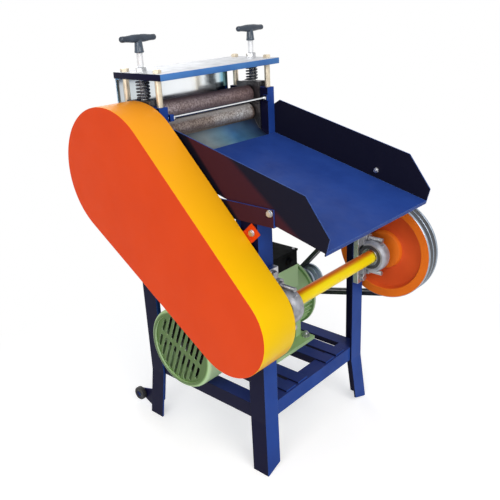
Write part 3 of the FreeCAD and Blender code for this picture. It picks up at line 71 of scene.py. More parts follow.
# ---- studio ----
# A pale seamless floor that runs to a white background, and soft lamps: a large key
# on the tray side, a weaker fill on the guard side and one from behind.
def add(tree, kind, inputs=(), **modes):
    """A new node with its modes set, and its inputs set or linked."""
    made = tree.nodes.new("ShaderNode" + kind)
    for mode, value in modes.items():
        setattr(made, mode, value)
    for socket, given in dict(inputs).items():
        if isinstance(given, bpy.types.NodeSocket):
            tree.links.new(given, made.inputs[socket])
        else:
            made.inputs[socket].default_value = given
    return made


def shown_ray(tree):
    """1 for the rays that show the background: camera, gloss and glass."""
    path = add(tree, "LightPath")
    total = path.outputs["Is Camera Ray"]
    for ray in ("Is Glossy Ray", "Is Transmission Ray"):
        total = add(tree, "Math", {0: total, 1: path.outputs[ray]}, operation="MAXIMUM").outputs[0]
    return total


world = bpy.data.worlds.new("studio")
world.use_nodes = True
scene.world = world
sky = world.node_tree
sky.nodes.clear()
ambient = add(sky, "Background", {"Color": (0.95, 0.97, 1.0, 1), "Strength": 0.42})
white = add(sky, "Background", {"Color": (1, 1, 1, 1)})
choose = add(sky, "MixShader", {0: shown_ray(sky), 1: ambient.outputs[0], 2: white.outputs[0]})
add(sky, "OutputWorld", {0: choose.outputs[0]})

floor_paint = bpy.data.materials.new("floor")
floor_paint.use_nodes = True
tree = floor_paint.node_tree
tree.nodes.clear()
shown = shown_ray(tree)
lift = add(tree, "Math", {0: shown, 1: 0.48}, operation="MULTIPLY")
matte = add(tree, "BsdfDiffuse", {"Color": (0.72, 0.72, 0.72, 1)})
glow = add(tree, "Emission", {"Color": (1, 1, 1, 1), "Strength": lift.outputs[0]})
near_floor = add(tree, "AddShader", {0: matte.outputs[0], 1: glow.outputs[0]})
floor_place = add(tree, "TexCoord").outputs["Object"]
away = add(tree, "VectorMath", {0: floor_place}, operation="LENGTH")
far = add(tree, "MapRange", {"Value": away.outputs["Value"], "From Min": 0.45, "From Max": 1.15},
          interpolation_type="SMOOTHSTEP")
far_shown = add(tree, "Math", {0: far.outputs[0], 1: shown}, operation="MULTIPLY")
blank = add(tree, "Emission", {"Color": (1, 1, 1, 1)})
spread = add(tree, "MixShader",
             {0: far_shown.outputs[0], 1: near_floor.outputs[0], 2: blank.outputs[0]})
add(tree, "OutputMaterial", {0: spread.outputs[0]})
bm = bmesh.new()
bmesh.ops.create_grid(bm, x_segments=1, y_segments=1, size=12.0)
floor_mesh = bpy.data.meshes.new("studio_floor")
bm.to_mesh(floor_mesh)
bm.free()
floor_mesh.materials.append(floor_paint)
floor = bpy.data.objects.new("studio_floor", floor_mesh)
scene.collection.objects.link(floor)

for lamp_name, place, size, power, tint in (
        ("key_lamp", (-0.9, -3.1, 2.9), 2.6, 76.0, (1.0, 0.98, 0.95)),
        ("guard_lamp", (-3.4, -1.0, 1.9), 2.4, 62.0, (1.0, 1.0, 1.0)),
        ("top_lamp", (0.2, 0.3, 3.8), 2.2, 16.0, (1.0, 1.0, 1.0)),
        ("back_lamp", (1.6, 3.2, 2.2), 2.2, 24.0, (0.96, 0.98, 1.0))):
    lamp_data = bpy.data.lights.new(lamp_name, "AREA")
    lamp_data.shape = "DISK"
    lamp_data.size = size
    lamp_data.energy = power
    lamp_data.color = tint
    lamp = bpy.data.objects.new(lamp_name, lamp_data)
    lamp.location = place
    aim = Vector((0.0, 0.0, 0.6)) - Vector(place)
    lamp.rotation_euler = aim.to_track_quat("-Z", "Y").to_euler()
    scene.collection.objects.link(lamp)

# ---- stand ----
# Welded angle iron: four legs that splay below the shelf, shelf rails and angle slats.
# Sprayed with deep blue enamel, with painted shade on the faces towards the guard and on the tops, and
# a painted highlight along the edges.
middle = 0.01525       # the head's middle, across the machine
stand_y = 0.057283     # the stand's middle, from front to back


def material_tree(name):
    """A new material's node tree and its shader."""
    material = bpy.data.materials.new(name)
    material.use_nodes = True
    return material, material.node_tree, material.node_tree.nodes["Principled BSDF"]


def noise(tree, scale, detail=3.0, stretch=(1, 1, 1)):
    """A noise value over the piece, stretched along its axes."""
    place = add(tree, "TexCoord").outputs["Object"]
    fit = add(tree, "Mapping", {"Vector": place, "Scale": stretch}).outputs[0]
    return add(tree, "TexNoise", {"Vector": fit, "Scale": scale, "Detail": detail}).outputs["Fac"]


def steps(tree, value, *stops):
    """A colour for each level of a value."""
    ramp = add(tree, "ValToRGB", {0: value})
    band = ramp.color_ramp
    while len(band.elements) < len(stops):
        band.elements.new(0.5)
    for element, (place, colour) in zip(band.elements, stops):
        element.position = place
        element.color = (*colour, 1)
    return ramp.outputs[0]


def mixed(tree, share, colour_a, colour_b, way="MIX"):
    """Two colours mixed by a share from 0 to 1, or with MULTIPLY one tinted by the other."""
    pair = [(*given, 1) if isinstance(given, tuple) else given for given in (colour_a, colour_b)]
    return add(tree, "Mix", {0: share, 6: pair[0], 7: pair[1]}, data_type="RGBA",
               blend_type=way).outputs[2]


def ranged(tree, value, low, high, to_low=0.0, to_high=1.0):
    """A value moved from one range to another, and held there."""
    return add(tree, "MapRange", {0: value, 1: low, 2: high, 3: to_low, 4: to_high}).outputs[0]


def edged(tree, shader, body, edge, wear, fold=0.0008):
    """Colour the shader, with another colour worn along the edges, and return soft normals."""
    soft = add(tree, "Bevel", {"Radius": fold}, samples=4).outputs[0]
    true_face = add(tree, "NewGeometry").outputs["True Normal"]
    likeness = add(tree, "VectorMath", {0: soft, 1: true_face}, operation="DOT_PRODUCT")
    share = ranged(tree, likeness.outputs["Value"], 0.995, 0.75, 0.0, wear)
    tree.links.new(mixed(tree, share, body, edge), shader.inputs["Base Color"])
    return soft


def roughened(tree, shader, value, at_low, at_high, low=0.3, high=0.7):
    """Let a value move the roughness from one figure to another."""
    tree.links.new(ranged(tree, value, low, high, at_low, at_high), shader.inputs["Roughness"])


def bumped(tree, shader, height, distance, strength, normal=None):
    """Give the shader a relief, in metres, over its normals."""
    relief = add(tree, "Bump", {"Strength": strength, "Distance": distance, "Height": height})
    if normal is not None:
        tree.links.new(normal, relief.inputs["Normal"])
    tree.links.new(relief.outputs[0], shader.inputs["Normal"])


def enamel(name, colour, deep, edge, gloss=0.36, grain=900.0, shine=0.12, fold=0.0012):
    """Sprayed enamel: cloudy depth, a fine orange peel and thin paint on the edges."""
    material, tree, shader = material_tree(name)
    body = steps(tree, noise(tree, 9.0, 4.0), (0.30, deep), (0.62, colour))
    normal = edged(tree, shader, body, edge, 0.65, fold)
    roughened(tree, shader, noise(tree, 40.0), gloss - 0.06, gloss + 0.08)
    shader.inputs["Specular IOR Level"].default_value = shine
    bumped(tree, shader, noise(tree, grain, 2.0), 0.00005, 0.10, normal)
    return material, tree, shader


def dress(material, *names):
    """Give CAD nodes their finish."""
    for name in names:
        for place in nodes[name].material_slots:
            place.material = material


def reach_along(tree, axis, source="Object"):
    """The piece's own place, or its normal, along an axis."""
    whole = add(tree, "TexCoord").outputs[source]
    return add(tree, "SeparateXYZ", {0: whole}).outputs[axis]


def paint_light_on_faces(tree, shader, *tones):
    """Paint light or shade over the faces that look along an axis: (colour, axis, start, full)."""
    for colour, axis, start, full in tones:
        share = ranged(tree, reach_along(tree, axis, "Normal"), start, full)
        paint = shader.inputs["Base Color"].links[0].from_socket
        tree.links.new(mixed(tree, share, paint, colour), shader.inputs["Base Color"])


def placed(tree, axis, *stops):
    """A colour for each place along an axis of the piece, given in metres."""
    first, last = stops[0][0], stops[-1][0]
    share = ranged(tree, reach_along(tree, axis), first, last)
    return steps(tree, share, *[((at - first) / (last - first), colour) for at, colour in stops])


def painted_shade_red_reflection_shadow(tree):
    """Painted navy shade that turns to a painted red reflection of the guard past one slanting line,
    and to a painted shadow band past a second one.
    """
    place = add(tree, "TexCoord").outputs["Object"]
    # Painted shade in navy on the faces towards the guard.
    paint = (0.008, 0.008, 0.019)
    # Past the first line a painted red reflection of the guard, past the second a painted shadow band.
    for slant, start, full, colour in (
            ((-1, 0.62, -0.785), -0.509, -0.497, (0.046, 0.012, 0.021)),
            ((-1, 0.7585, -0.6517), -0.332, -0.325, (0.005, 0.005, 0.012))):
        across = add(tree, "VectorMath", {0: place, 1: slant}, operation="DOT_PRODUCT")
        paint = mixed(tree, ranged(tree, across.outputs["Value"], start, full), paint, colour)
    return paint


def blue_enamel(name, colour, deep, with_guard_reflection=False, top=None, fold=0.0012):
    """Blue enamel with painted shade on the faces towards the guard and, if given, on top; its lighter
    edges are thin paint and a painted highlight.
    """
    # The lighter blue along the edges is thin worn paint and also a painted highlight line.
    material, tree, shader = enamel(name, colour, deep, (0.14, 0.26, 0.60), shine=0.06, fold=fold)
    # Painted shade on the tops.
    if top:
        paint_light_on_faces(tree, shader, (top, "Z", 0.5, 0.9))
    # Painted shade on the faces towards the guard, with the guard's red reflection and shadow painted
    # in if asked.
    side = painted_shade_red_reflection_shadow(tree) if with_guard_reflection else (0.006, 0.006, 0.027)
    paint_light_on_faces(tree, shader, (side, "X", -0.35, -0.9))
    return material


# Painted shade on the tops of the shelf rails and slats, under the tray and the motor.
stand_blue = blue_enamel("stand_blue", (0.018, 0.062, 0.30), (0.013, 0.046, 0.235),
                         top=(0.026, 0.042, 0.19))
dress(stand_blue, "front_left_leg", "front_right_leg", "back_left_leg", "back_right_leg",
      "shelf_front_rail", "shelf_back_rail", "shelf_left_rail", "shelf_right_rail",
      "right_table_rail", "right_cheek", "wheel_brackets")
# These parts get painted shade, a painted red reflection of the guard and a painted shadow band on
# their faces towards it.
rail_blue = blue_enamel("rail_blue", (0.018, 0.062, 0.30), (0.013, 0.046, 0.235),
                        with_guard_reflection=True, fold=0.0006)
dress(rail_blue, "left_table_rail", "left_cheek")


def soften(piece, name, width, angle):
    """Round over the edges where faces meet at more than an angle."""
    round_over = piece.modifiers.new(name, "BEVEL")
    round_over.width = width
    round_over.segments = 2
    round_over.limit_method = "ANGLE"
    round_over.angle_limit = math.radians(angle)


def finish_piece(name, bm, body, materials, stands_for=(), sharp=35.0, bevel=0.0):
    """Make a mesh a piece of the machine, in place of the nodes it stands for."""
    bmesh.ops.remove_doubles(bm, verts=bm.verts, dist=1e-6)
    bmesh.ops.recalc_face_normals(bm, faces=bm.faces)
    mesh = bpy.data.meshes.new(name)
    bm.to_mesh(mesh)
    bm.free()
    for material in materials:
        mesh.materials.append(material)
    mesh.shade_smooth()
    mesh.set_sharp_from_angle(angle=math.radians(sharp))
    piece = bpy.data.objects.new(name, mesh)
    scene.collection.objects.link(piece)
    if bevel:
        soften(piece, "edges", bevel, 40)
    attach(piece, body)
    if stands_for:
        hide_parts(*stands_for)
    return piece


def weld_bead(bm, start, end, size):
    """A row of flattened beads along a seam."""
    start, end = Vector(start), Vector(end)
    count = max(2, round((end - start).length / (size * 0.75)))
    for i in range(count + 1):
        place = start.lerp(end, i / count)
        bmesh.ops.create_uvsphere(bm, u_segments=8, v_segments=6, radius=size,
                                  matrix=Matrix.Translation(place) @ Matrix.Diagonal((1, 1, 0.8, 1)))


bm = bmesh.new()
for side, rail in ((-1, "shelf_left_rail"), (1, "shelf_right_rail")):
    low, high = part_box(rail)
    x = (low.x if side < 0 else high.x) - side * 0.001
    seam = x - side * 0.004
    for y in (low.y - 0.0002, high.y + 0.0002):
        weld_bead(bm, (seam, y, low.z + 0.004), (seam, y, high.z - 0.002), 0.0028)
        weld_bead(bm, (x, y, high.z), (x - side * 0.041, y, high.z), 0.0026)
finish_piece("shelf_welds", bm, "frame", [stand_blue], sharp=80)

low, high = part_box("shelf_slats")
slat_width, slat_leg, slat_sheet = 0.040, 0.024, 0.004
leg_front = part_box("shelf_front_rail")[1].y + 0.001
leg_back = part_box("shelf_back_rail")[0].y - 0.001


def block(bm, centre, size, turn=Matrix()):
    """A square-edged block about a centre, then turned and moved."""
    place = turn @ Matrix.Translation(centre) @ Matrix.Diagonal((*size, 1))
    return bmesh.ops.create_cube(bm, size=1, matrix=place)["verts"]


bm = bmesh.new()
for start in (low.x, low.x + 0.051, middle + 0.060, high.x - slat_width):
    for corner, far_corner in (
            ((start, low.y, low.z), (start + slat_width, high.y, high.z)),
            ((start, leg_front, high.z - slat_leg), (start + slat_sheet, leg_back, low.z + 0.001))):
        corner, far_corner = Vector(corner), Vector(far_corner)
        block(bm, (corner + far_corner) / 2, far_corner - corner)
finish_piece("angle_slats", bm, "frame", [stand_blue], ["shelf_slats"], bevel=0.0008)

# ---- transport wheels ----
# Two small rubber wheels on pins at the back feet.
# Each is a moulded tyre with a rounded tread on a grey plastic hub.
def standing(axis, place):
    """A matrix that stands a piece's Z along an axis at a place."""
    turn = Vector((0, 0, 1)).rotation_difference(Vector(axis))
    return Matrix.Translation(Vector(place)) @ turn.to_matrix().to_4x4()


def turned(bm, profile, axis, centre, turns=48):
    """Spin a profile of (along, radius) points about an axis through a centre."""
    square = standing(axis, centre)
    points = [bm.verts.new(square @ Vector((radius, 0, along))) for along, radius in profile]
    lines = [bm.edges.new(pair) for pair in zip(points, points[1:])]
    bmesh.ops.spin(bm, geom=points + lines, cent=Vector(centre), axis=Vector(axis), dvec=(0, 0, 0),
                   angle=math.tau, steps=turns, use_merge=True, use_duplicate=False)


def mirrored(line):
    """A line of (along, radius) points followed by its mirror image."""
    return line + [(-along, radius) for along, radius in reversed(line)]


def second_finish(bm, first):
    """Give the faces from a count onwards the piece's second finish."""
    bm.faces.ensure_lookup_table()
    for face in bm.faces[first:]:
        face.material_index = 1


def rubber(name, colour, roughness=0.62):
    """Black rubber or plastic: cloudy bloom, a fine grain and greyed edges."""
    material, tree, shader = material_tree(name)
    cloud = noise(tree, 60.0, 5.0)
    body = steps(tree, cloud, (0.35, colour), (0.75, tuple(2.2 * part + 0.004 for part in colour)))
    normal = edged(tree, shader, body, (0.07, 0.07, 0.07), 0.4)
    roughened(tree, shader, cloud, roughness - 0.1, roughness + 0.1)
    bumped(tree, shader, noise(tree, 1500.0), 0.0002, 0.25, normal)
    return material


wheel_rubber = rubber("wheel_rubber", (0.012, 0.012, 0.013))
hub_plastic = rubber("hub_plastic", (0.045, 0.05, 0.06), 0.45)
pin_bore = 0.0051
for name in ("left_wheel", "right_wheel"):
    low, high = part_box(name)
    centre = (low + high) / 2
    half, radius = (high.x - low.x) / 2, min(high.y - low.y, high.z - low.z) / 2
    tyre, hub = ([(half * along, radius * out) for along, out in shares] for shares in (
        ((-0.8, 0.62), (-1, 0.70), (-1, 0.86), (-0.75, 0.97), (-0.3, 1)),
        ((-1, 0.36), (-0.5, 0.40), (-0.5, 0.58), (-0.8, 0.62), (-0.8, 0.63))))
    hub.insert(0, (-half, pin_bore))
    bm = bmesh.new()
    turned(bm, mirrored(tyre), (1, 0, 0), centre)
    tyre_faces = len(bm.faces)
    turned(bm, mirrored(hub) + hub[:1], (1, 0, 0), centre)
    second_finish(bm, tyre_faces)
    finish_piece(name + "_tyre", bm, name, [wheel_rubber, hub_plastic], [name])

# ---- head: top plate, posts and nuts ----
# A thick steel plate, ground on top and painted blue on its edges, on four yellow
# plated posts.  Hexagon heads hold it; two welded nuts take the pressure screws.
def steel(name, colour, roughness=0.3, dark=0.6, metallic=1.0, stretch=(1, 1, 1), scale=60.0,
          relief=0.15, grain=700.0):
    """Bare or plated metal: cloudy tone, brushed or cast grain and bright edges."""
    material, tree, shader = material_tree(name)
    cloud = noise(tree, scale, 5.0, stretch)
    shade = tuple(part * dark for part in colour)
    bright = tuple(min(1.0, part * 1.25 + 0.04) for part in colour)
    body = steps(tree, cloud, (0.30, shade), (0.62, colour))
    normal = edged(tree, shader, body, bright, 0.8)
    shader.inputs["Metallic"].default_value = metallic
    roughened(tree, shader, cloud, roughness + 0.10, roughness - 0.05)
    bumped(tree, shader, noise(tree, grain, 3.0, stretch), 0.0002, relief, normal)
    return material


def hexagon(bm, seat, axis, flats, height, chamfer=0.0012, turn=0.0):
    """A hexagon head or nut on its seat, its outer edges chamfered."""
    seat, axis = Vector(seat), Vector(axis)
    place = standing(axis, seat + axis * height / 2) @ Matrix.Rotation(math.radians(30 + turn), 4, "Z")
    corner = flats / math.sqrt(3)
    made = bmesh.ops.create_cone(bm, cap_ends=True, segments=6, radius1=corner, radius2=corner,
                                 depth=height, matrix=place)
    top = {edge for vert in made["verts"] for edge in vert.link_edges
           if all((v.co - seat).dot(axis) > height * 0.9 for v in edge.verts)}
    bmesh.ops.bevel(bm, geom=list(top), offset=chamfer, segments=1, profile=0.5, affect="EDGES",
                    material=-1)


def rod(bm, radius, start, end, segments=32, chamfer=0.0):
    """A round bar between two points, with chamfered ends."""
    start, end = Vector(start), Vector(end)
    length = (end - start).length
    cut = chamfer or radius * 0.02
    turned(bm, [(0, 0), (0, radius - cut), (cut, radius), (length - cut, radius),
                (length, radius - cut), (length, 0)], (end - start).normalized(), start, segments)


yellow_zinc = steel("yellow_zinc", (0.78, 0.68, 0.52), 0.34, 0.70, metallic=0.8)
bright_zinc = steel("bright_zinc", (0.62, 0.63, 0.65), 0.30, 0.60, metallic=0.9)
ground_steel = steel("ground_steel", (0.62, 0.63, 0.66), 0.46, 0.74, metallic=0.4, stretch=(1, 3, 1),
                     scale=22.0, grain=260.0)
# Painted shade darkens the plate's left end, as on the stand.
plate_blue = blue_enamel("plate_blue", (0.075, 0.22, 0.52), (0.055, 0.16, 0.44))
low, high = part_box("top_plate")
bm = bmesh.new()
block(bm, (low + high) / 2, high - low)
bmesh.ops.bevel(bm, geom=bm.edges[:], offset=0.0014, segments=2, profile=0.5, affect="EDGES",
                material=-1)
for face in bm.faces:
    face.material_index = 1 if face.normal.z > 0.9 else 0
finish_piece("head_plate", bm, "frame", [plate_blue, ground_steel], ["top_plate"])

plate_top = high.z
post_low, post_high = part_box("tie_spacers")
post_radius = 0.008
posts = [(x, y) for x in (post_low.x + post_radius, post_high.x - post_radius)
         for y in (post_low.y + post_radius, post_high.y - post_radius)]
half = (post_high.z - post_low.z) / 2
sleeve = mirrored([(-half, 0.0062), (-half, 0.0074), (0.0006 - half, post_radius)])
bm = bmesh.new()
for x, y in posts:
    turned(bm, sleeve + sleeve[:1], (0, 0, 1), (x, y, post_low.z + half))
finish_piece("plate_posts", bm, "frame", [yellow_zinc], ["tie_spacers"])
bm = bmesh.new()
for i, (x, y) in enumerate(posts):
    hexagon(bm, (x, y, plate_top), (0, 0, 1), 0.019, 0.008, turn=17 * i)
    turned(bm, [(0.008, 0), (0.008, 0.0078), (0.0084, 0.0074), (0.0084, 0)], (0, 0, 1),
           (x, y, plate_top), 24)
    rod(bm, 0.006, (x, y, post_low.z - 0.03), (x, y, plate_top + 0.001), 24)
finish_piece("plate_bolts", bm, "frame", [yellow_zinc], ["tie_bolts"])

nut_low, nut_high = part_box("screw_nuts")
screw_y = (nut_low.y + nut_high.y) / 2
screw_places = {side: sum(corner.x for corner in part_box(side + "_screw")) / 2
                for side in ("left", "right")}
bm = bmesh.new()
for x in screw_places.values():
    hexagon(bm, (x, screw_y, plate_top), (0, 0, 1), 0.024, 0.013, 0.0016)
    for i in range(6):
        turn = math.tau * i / 6 + math.tau / 12
        out = Vector((math.cos(turn), math.sin(turn), 0)) * 0.0122
        along = Vector((-math.sin(turn), math.cos(turn), 0)) * 0.0055
        seat = Vector((x, screw_y, plate_top + 0.0006))
        weld_bead(bm, seat + out - along, seat + out + along, 0.0016)
finish_piece("welded_nuts", bm, "frame", [bright_zinc], ["screw_nuts"])

# ---- pressure screws and T-handles ----
# M16 threaded rods that press on the upper bearing blocks.  Each has a T-handle
# moulded in dark grey plastic, with a waisted bar on a ribbed collar.
def linked(verts):
    """Vertices with all the edges and faces that meet at them."""
    return [*verts, *{edge for vert in verts for edge in vert.link_edges},
            *{face for vert in verts for face in vert.link_faces}]


def threaded(bm, radius, start, end, pitch=0.002, turns=28):
    """A screw thread from end to end: a saw line spun once round while it climbs one pitch."""
    start, end = Vector(start), Vector(end)
    axis = (end - start).normalized()
    length = (end - start).length
    square = standing(axis, start)
    count = int(length / pitch) + 2
    line = []
    for i in range(2 * count + 1):
        out = radius if i % 2 else radius - pitch * 0.42
        line.append(bm.verts.new(square @ Vector((out, 0, (i / 2 - 1) * pitch))))
    edges = [bm.edges.new(pair) for pair in zip(line, line[1:])]
    made = bmesh.ops.spin(bm, geom=line + edges, cent=start, axis=axis, dvec=axis * pitch / turns,
                          angle=math.tau, steps=turns, use_merge=False, use_duplicate=False)
    last = [item for item in made["geom_last"] if isinstance(item, bmesh.types.BMVert)]
    bmesh.ops.remove_doubles(bm, verts=line + last, dist=2e-5)
    whole = set()
    reach = [vert for vert in line if vert.is_valid][:1]
    while reach:
        vert = reach.pop()
        if vert in whole:
            continue
        whole.add(vert)
        reach += [edge.other_vert(vert) for edge in vert.link_edges]
    geom = linked(whole)
    for place, out in ((start, -axis), (end, axis)):
        geom = [item for item in geom if item.is_valid]
        cut = bmesh.ops.bisect_plane(bm, geom=geom, dist=1e-7, plane_co=place, plane_no=out,
                                     clear_outer=True, clear_inner=False)
        geom = [item for item in cut["geom"] if item.is_valid]
        rim = [item for item in cut["geom_cut"]
               if isinstance(item, bmesh.types.BMEdge) and item.is_valid]
        geom += bmesh.ops.edgeloop_fill(bm, edges=rim)["faces"]


screw_steel = steel("screw_steel", (0.84, 0.85, 0.87), 0.50, 0.85, metallic=0.6)
for side, x in screw_places.items():
    low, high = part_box(side + "_screw")
    bm = bmesh.new()
    threaded(bm, 0.008, (x, screw_y, low.z + 0.012), (x, screw_y, high.z - 0.012))
    rod(bm, 0.0066, (x, screw_y, low.z), (x, screw_y, low.z + 0.013), 24, 0.001)
    finish_piece(side + "_pressure_screw", bm, side + "_screw_set", [screw_steel],
                 [side + "_screw"], sharp=25)


def moulded(name, colour, roughness=0.42, shine=0.5):
    """Moulded plastic: fine spark-eroded grain, a slight sheen and rubbed edges."""
    material, tree, shader = material_tree(name)
    cloud = noise(tree, 25.0, 4.0)
    pale = tuple(1.5 * part + 0.006 for part in colour)
    body = steps(tree, cloud, (0.35, colour), (0.70, pale))
    worn = tuple(2.4 * part + 0.02 for part in colour)
    normal = edged(tree, shader, body, worn, 0.5, 0.0015)
    roughened(tree, shader, noise(tree, 60.0), roughness - 0.06, roughness + 0.08)
    shader.inputs["Specular IOR Level"].default_value = shine
    bumped(tree, shader, noise(tree, 1800.0, 2.0), 0.0002, 0.20, normal)
    return material


handle_grey = moulded("handle_grey", (0.020, 0.031, 0.050), 0.16, 0.45)
collar_grey = moulded("collar_grey", (0.036, 0.054, 0.080), 0.18, 0.45)
for side, x in screw_places.items():
    low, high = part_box(side + "_t_handle")
    bar_rise = high.z - 0.0095 - low.z
    reach = (high.x - low.x) / 2 - 0.003
    foot = Vector((x, screw_y, low.z))
    bm = bmesh.new()
    bar = [(along - reach, radius) for along, radius in (
        (0.0012, 0), (0.0012, 0.0024), (0, 0.0030), (0.0004, 0.0052), (0.0025, 0.0068),
        (0.007, 0.0074), (0.014, 0.0072), (0.024, 0.0080))] + [(-0.018, 0.0093), (-0.010, 0.0095)]
    turned(bm, mirrored(bar), (1, 0, 0), foot + Vector((0, 0, bar_rise)), 32)
    bar_faces = len(bm.faces)
    turned(bm, [(0, 0.0078), (0, 0.0108), (0.001, 0.0115), (0.004, 0.0115), (0.005, 0.0108),
                (0.016, 0.0100), (0.024, 0.0092), (bar_rise, 0.0088), (bar_rise + 0.0088, 0.0052),
                (bar_rise + 0.0094, 0)], (0, 0, 1), foot, 40)
    for i in range(8):
        turn = math.tau * i / 8
        out = Vector((math.cos(turn), math.sin(turn), 0))
        rod(bm, 0.0012, foot + out * 0.0098 + Vector((0, 0, 0.005)),
            foot + out * 0.0080 + Vector((0, 0, 0.022)), 8)
    second_finish(bm, bar_faces)
    finish_piece(side + "_handle", bm, side + "_screw_set", [handle_grey, collar_grey],
                 [side + "_t_handle"], sharp=50)

# ---- pressure springs ----
# Black steel compression springs round the screws, between the plate and the blocks.
# Coiled from round wire, with the end coils closed.
spring_black = steel("spring_black", (0.075, 0.078, 0.095), 0.26, 0.6, metallic=0.8, relief=0.3)
spring_low, spring_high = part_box("pressure_springs")
wire, coil = 0.0025, 0.0150
climb = spring_high.z - spring_low.z - 2 * wire
dead = 2 * wire * 0.8
for side, x in screw_places.items():
    bm = bmesh.new()
    ring = bmesh.ops.create_circle(
        bm, segments=10, radius=wire, cap_ends=True,
        matrix=standing((0, -1, 0), (x + coil, screw_y, spring_low.z + wire)))
    spun = linked(ring["verts"])
    for turns, rise in ((0.8, dead), (4.4, climb - 2 * dead), (0.8, dead)):
        count = round(turns * 30)
        made = bmesh.ops.spin(bm, geom=spun, cent=(x, screw_y, 0), axis=(0, 0, 1),
                              dvec=(0, 0, rise / count), angle=math.tau * turns, steps=count,
                              use_merge=False, use_duplicate=False)
        spun = made["geom_last"]
    piece = finish_piece(side + "_spring", bm, "frame", [spring_black], ["pressure_springs"], sharp=60)
    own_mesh(piece)

# ---- back panel ----
# A bright rolled sheet that hangs behind the rollers.  Its colour carries a painted reflection of
# the room: pale, with bluish upright streaks.  It is blue towards its ends and dark at its right end.
# Its shading leans back a little, to show what is higher.
panel_look, tree, shader = material_tree("bright_sheet")
# Pale across the middle as a painted reflection of the room; blue towards the ends and dark at the
# right end.
tone = placed(tree, "X", (-0.200, (0.10, 0.25, 0.45)), (-0.194, (0.62, 0.66, 0.68)),
              (-0.12, (0.74, 0.77, 0.78)), (0.0, (0.92, 0.95, 0.98)), (0.10, (0.96, 0.99, 1.0)),
              (0.165, (0.66, 0.76, 0.80)), (0.178, (0.26, 0.52, 0.64)), (0.192, (0.18, 0.40, 0.52)),
              (0.200, (0.02, 0.03, 0.045)))
# Bluish upright streaks of painted reflection.
reflection_streaks = steps(tree, noise(tree, 7.0, 3.0, (1.0, 0.4, 0.08)), (0.36, (0.80, 0.86, 0.90)),
                (0.60, (1.0, 1.0, 1.0)))
tone = mixed(tree, 0.8, tone, reflection_streaks, "MULTIPLY")
normal = edged(tree, shader, tone, (0.7, 0.73, 0.76), 1.0)
shader.inputs["Metallic"].default_value = 1.0
roughened(tree, shader, noise(tree, 30.0, 3.0, (1, 1, 0.1)), 0.10, 0.18)
lean = ranged(tree, reach_along(tree, "Z"), 0.0, 1.5, 0.15, 0.0)
bumped(tree, shader, lean, 1.0, 1.0, normal)
dress(panel_look, "back_panel")

# ---- rollers ----
# Two solid steel feed rollers with a deep diamond knurl.  The upper one is browned
# with rust and oil and has painted shade on top; the lower one is a paler grey with a painted highlight
# on top.  Both have painted shade underneath.
def knurled_roller(bm, low, high, radius, axis_y, axis_z, step=0.0028):
    """A roller whose skin is a net of small diamonds between two plain end faces."""
    columns = 2 * round((high - low) / step / 2)
    rows = 2 * round(math.tau * radius / step / 2)
    profile = [(low + (high - low) * i / columns, radius) for i in range(columns + 1)]
    turned(bm, [(low, 0)] + profile + [(high, 0)], (1, 0, 0), (0, axis_y, axis_z), rows)
    for vert in bm.verts:
        out = Vector((0, vert.co.y - axis_y, vert.co.z - axis_z))
        if out.length > radius * 0.5:
            column = round((vert.co.x - low) / (high - low) * columns)
            row = round(math.atan2(out.z, out.y) / math.tau * rows)
            if (column + row) % 2 or column in (0, columns):
                vert.co -= out.normalized() * 0.0006


def worn_roller(name, roughness, metallic, upper, lower, *stops):
    """Worn steel: a tone for each place along it, rust patches and specks, painted light in a given
    tone on its top faces and painted shade on its underside.
    """
    material, tree, shader = material_tree(name)
    patches = noise(tree, 16.0, 5.0, (1.0, 1.6, 1.6))
    specks = noise(tree, 210.0, 3.0)
    paint = placed(tree, "X", *stops)
    for value, dark, light in ((patches, (0.36, (0.66, 0.60, 0.56)), (0.62, (1.0, 1.0, 1.0))),
                               (specks, (0.40, (0.36, 0.30, 0.28)), (0.60, (1.0, 1.0, 1.0)))):
        paint = mixed(tree, 0.8, paint, steps(tree, value, dark, light), "MULTIPLY")
    tree.links.new(paint, shader.inputs["Base Color"])
    # Painted light on the faces looking up, in the tone given: a highlight on the lower roller, shade
    # on the upper one.  Painted shade on the faces looking down.
    paint_light_on_faces(tree, shader, (upper, "Z", 0.62, 1.0), (lower, "Z", 0.05, -0.75))
    shader.inputs["Metallic"].default_value = metallic
    roughened(tree, shader, patches, roughness + 0.1, roughness - 0.08, 0.35, 0.65)
    bumped(tree, shader, noise(tree, 900.0), 0.0003, 0.5)
    return material


def centre_line(name):
    """The left and right ends of the line through the middle of a node."""
    low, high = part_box(name)
    along = (low + high) / 2
    return Vector((low.x, along.y, along.z)), Vector((high.x, along.y, along.z))


journal_steel = steel("journal_steel", (0.34, 0.33, 0.33), 0.35, 0.5)
roller_looks = {
    # Painted shade on top and underneath, then tones along the roller.
    "upper_roller": worn_roller("browned_knurl", 0.52, 0.3, (0.13, 0.075, 0.07),
                                (0.20, 0.14, 0.13), (-0.16, (0.56, 0.47, 0.47)),
                                (0.02, (0.32, 0.25, 0.25)), (0.15, (0.37, 0.27, 0.27)),
                                (0.19, (0.22, 0.15, 0.15))),
    # A painted highlight on top, painted shade underneath, then tones along the roller.
    "lower_roller": worn_roller("pale_knurl", 0.42, 0.35, (0.70, 0.69, 0.68),
                                (0.13, 0.085, 0.06), (-0.16, (0.28, 0.21, 0.19)),
                                (0.0, (0.50, 0.43, 0.38)), (0.12, (0.86, 0.86, 0.85)),
                                (0.180, (0.80, 0.76, 0.72)), (0.19, (0.34, 0.26, 0.22)))}
journal_radius = 0.0149      # turns clear in its bore
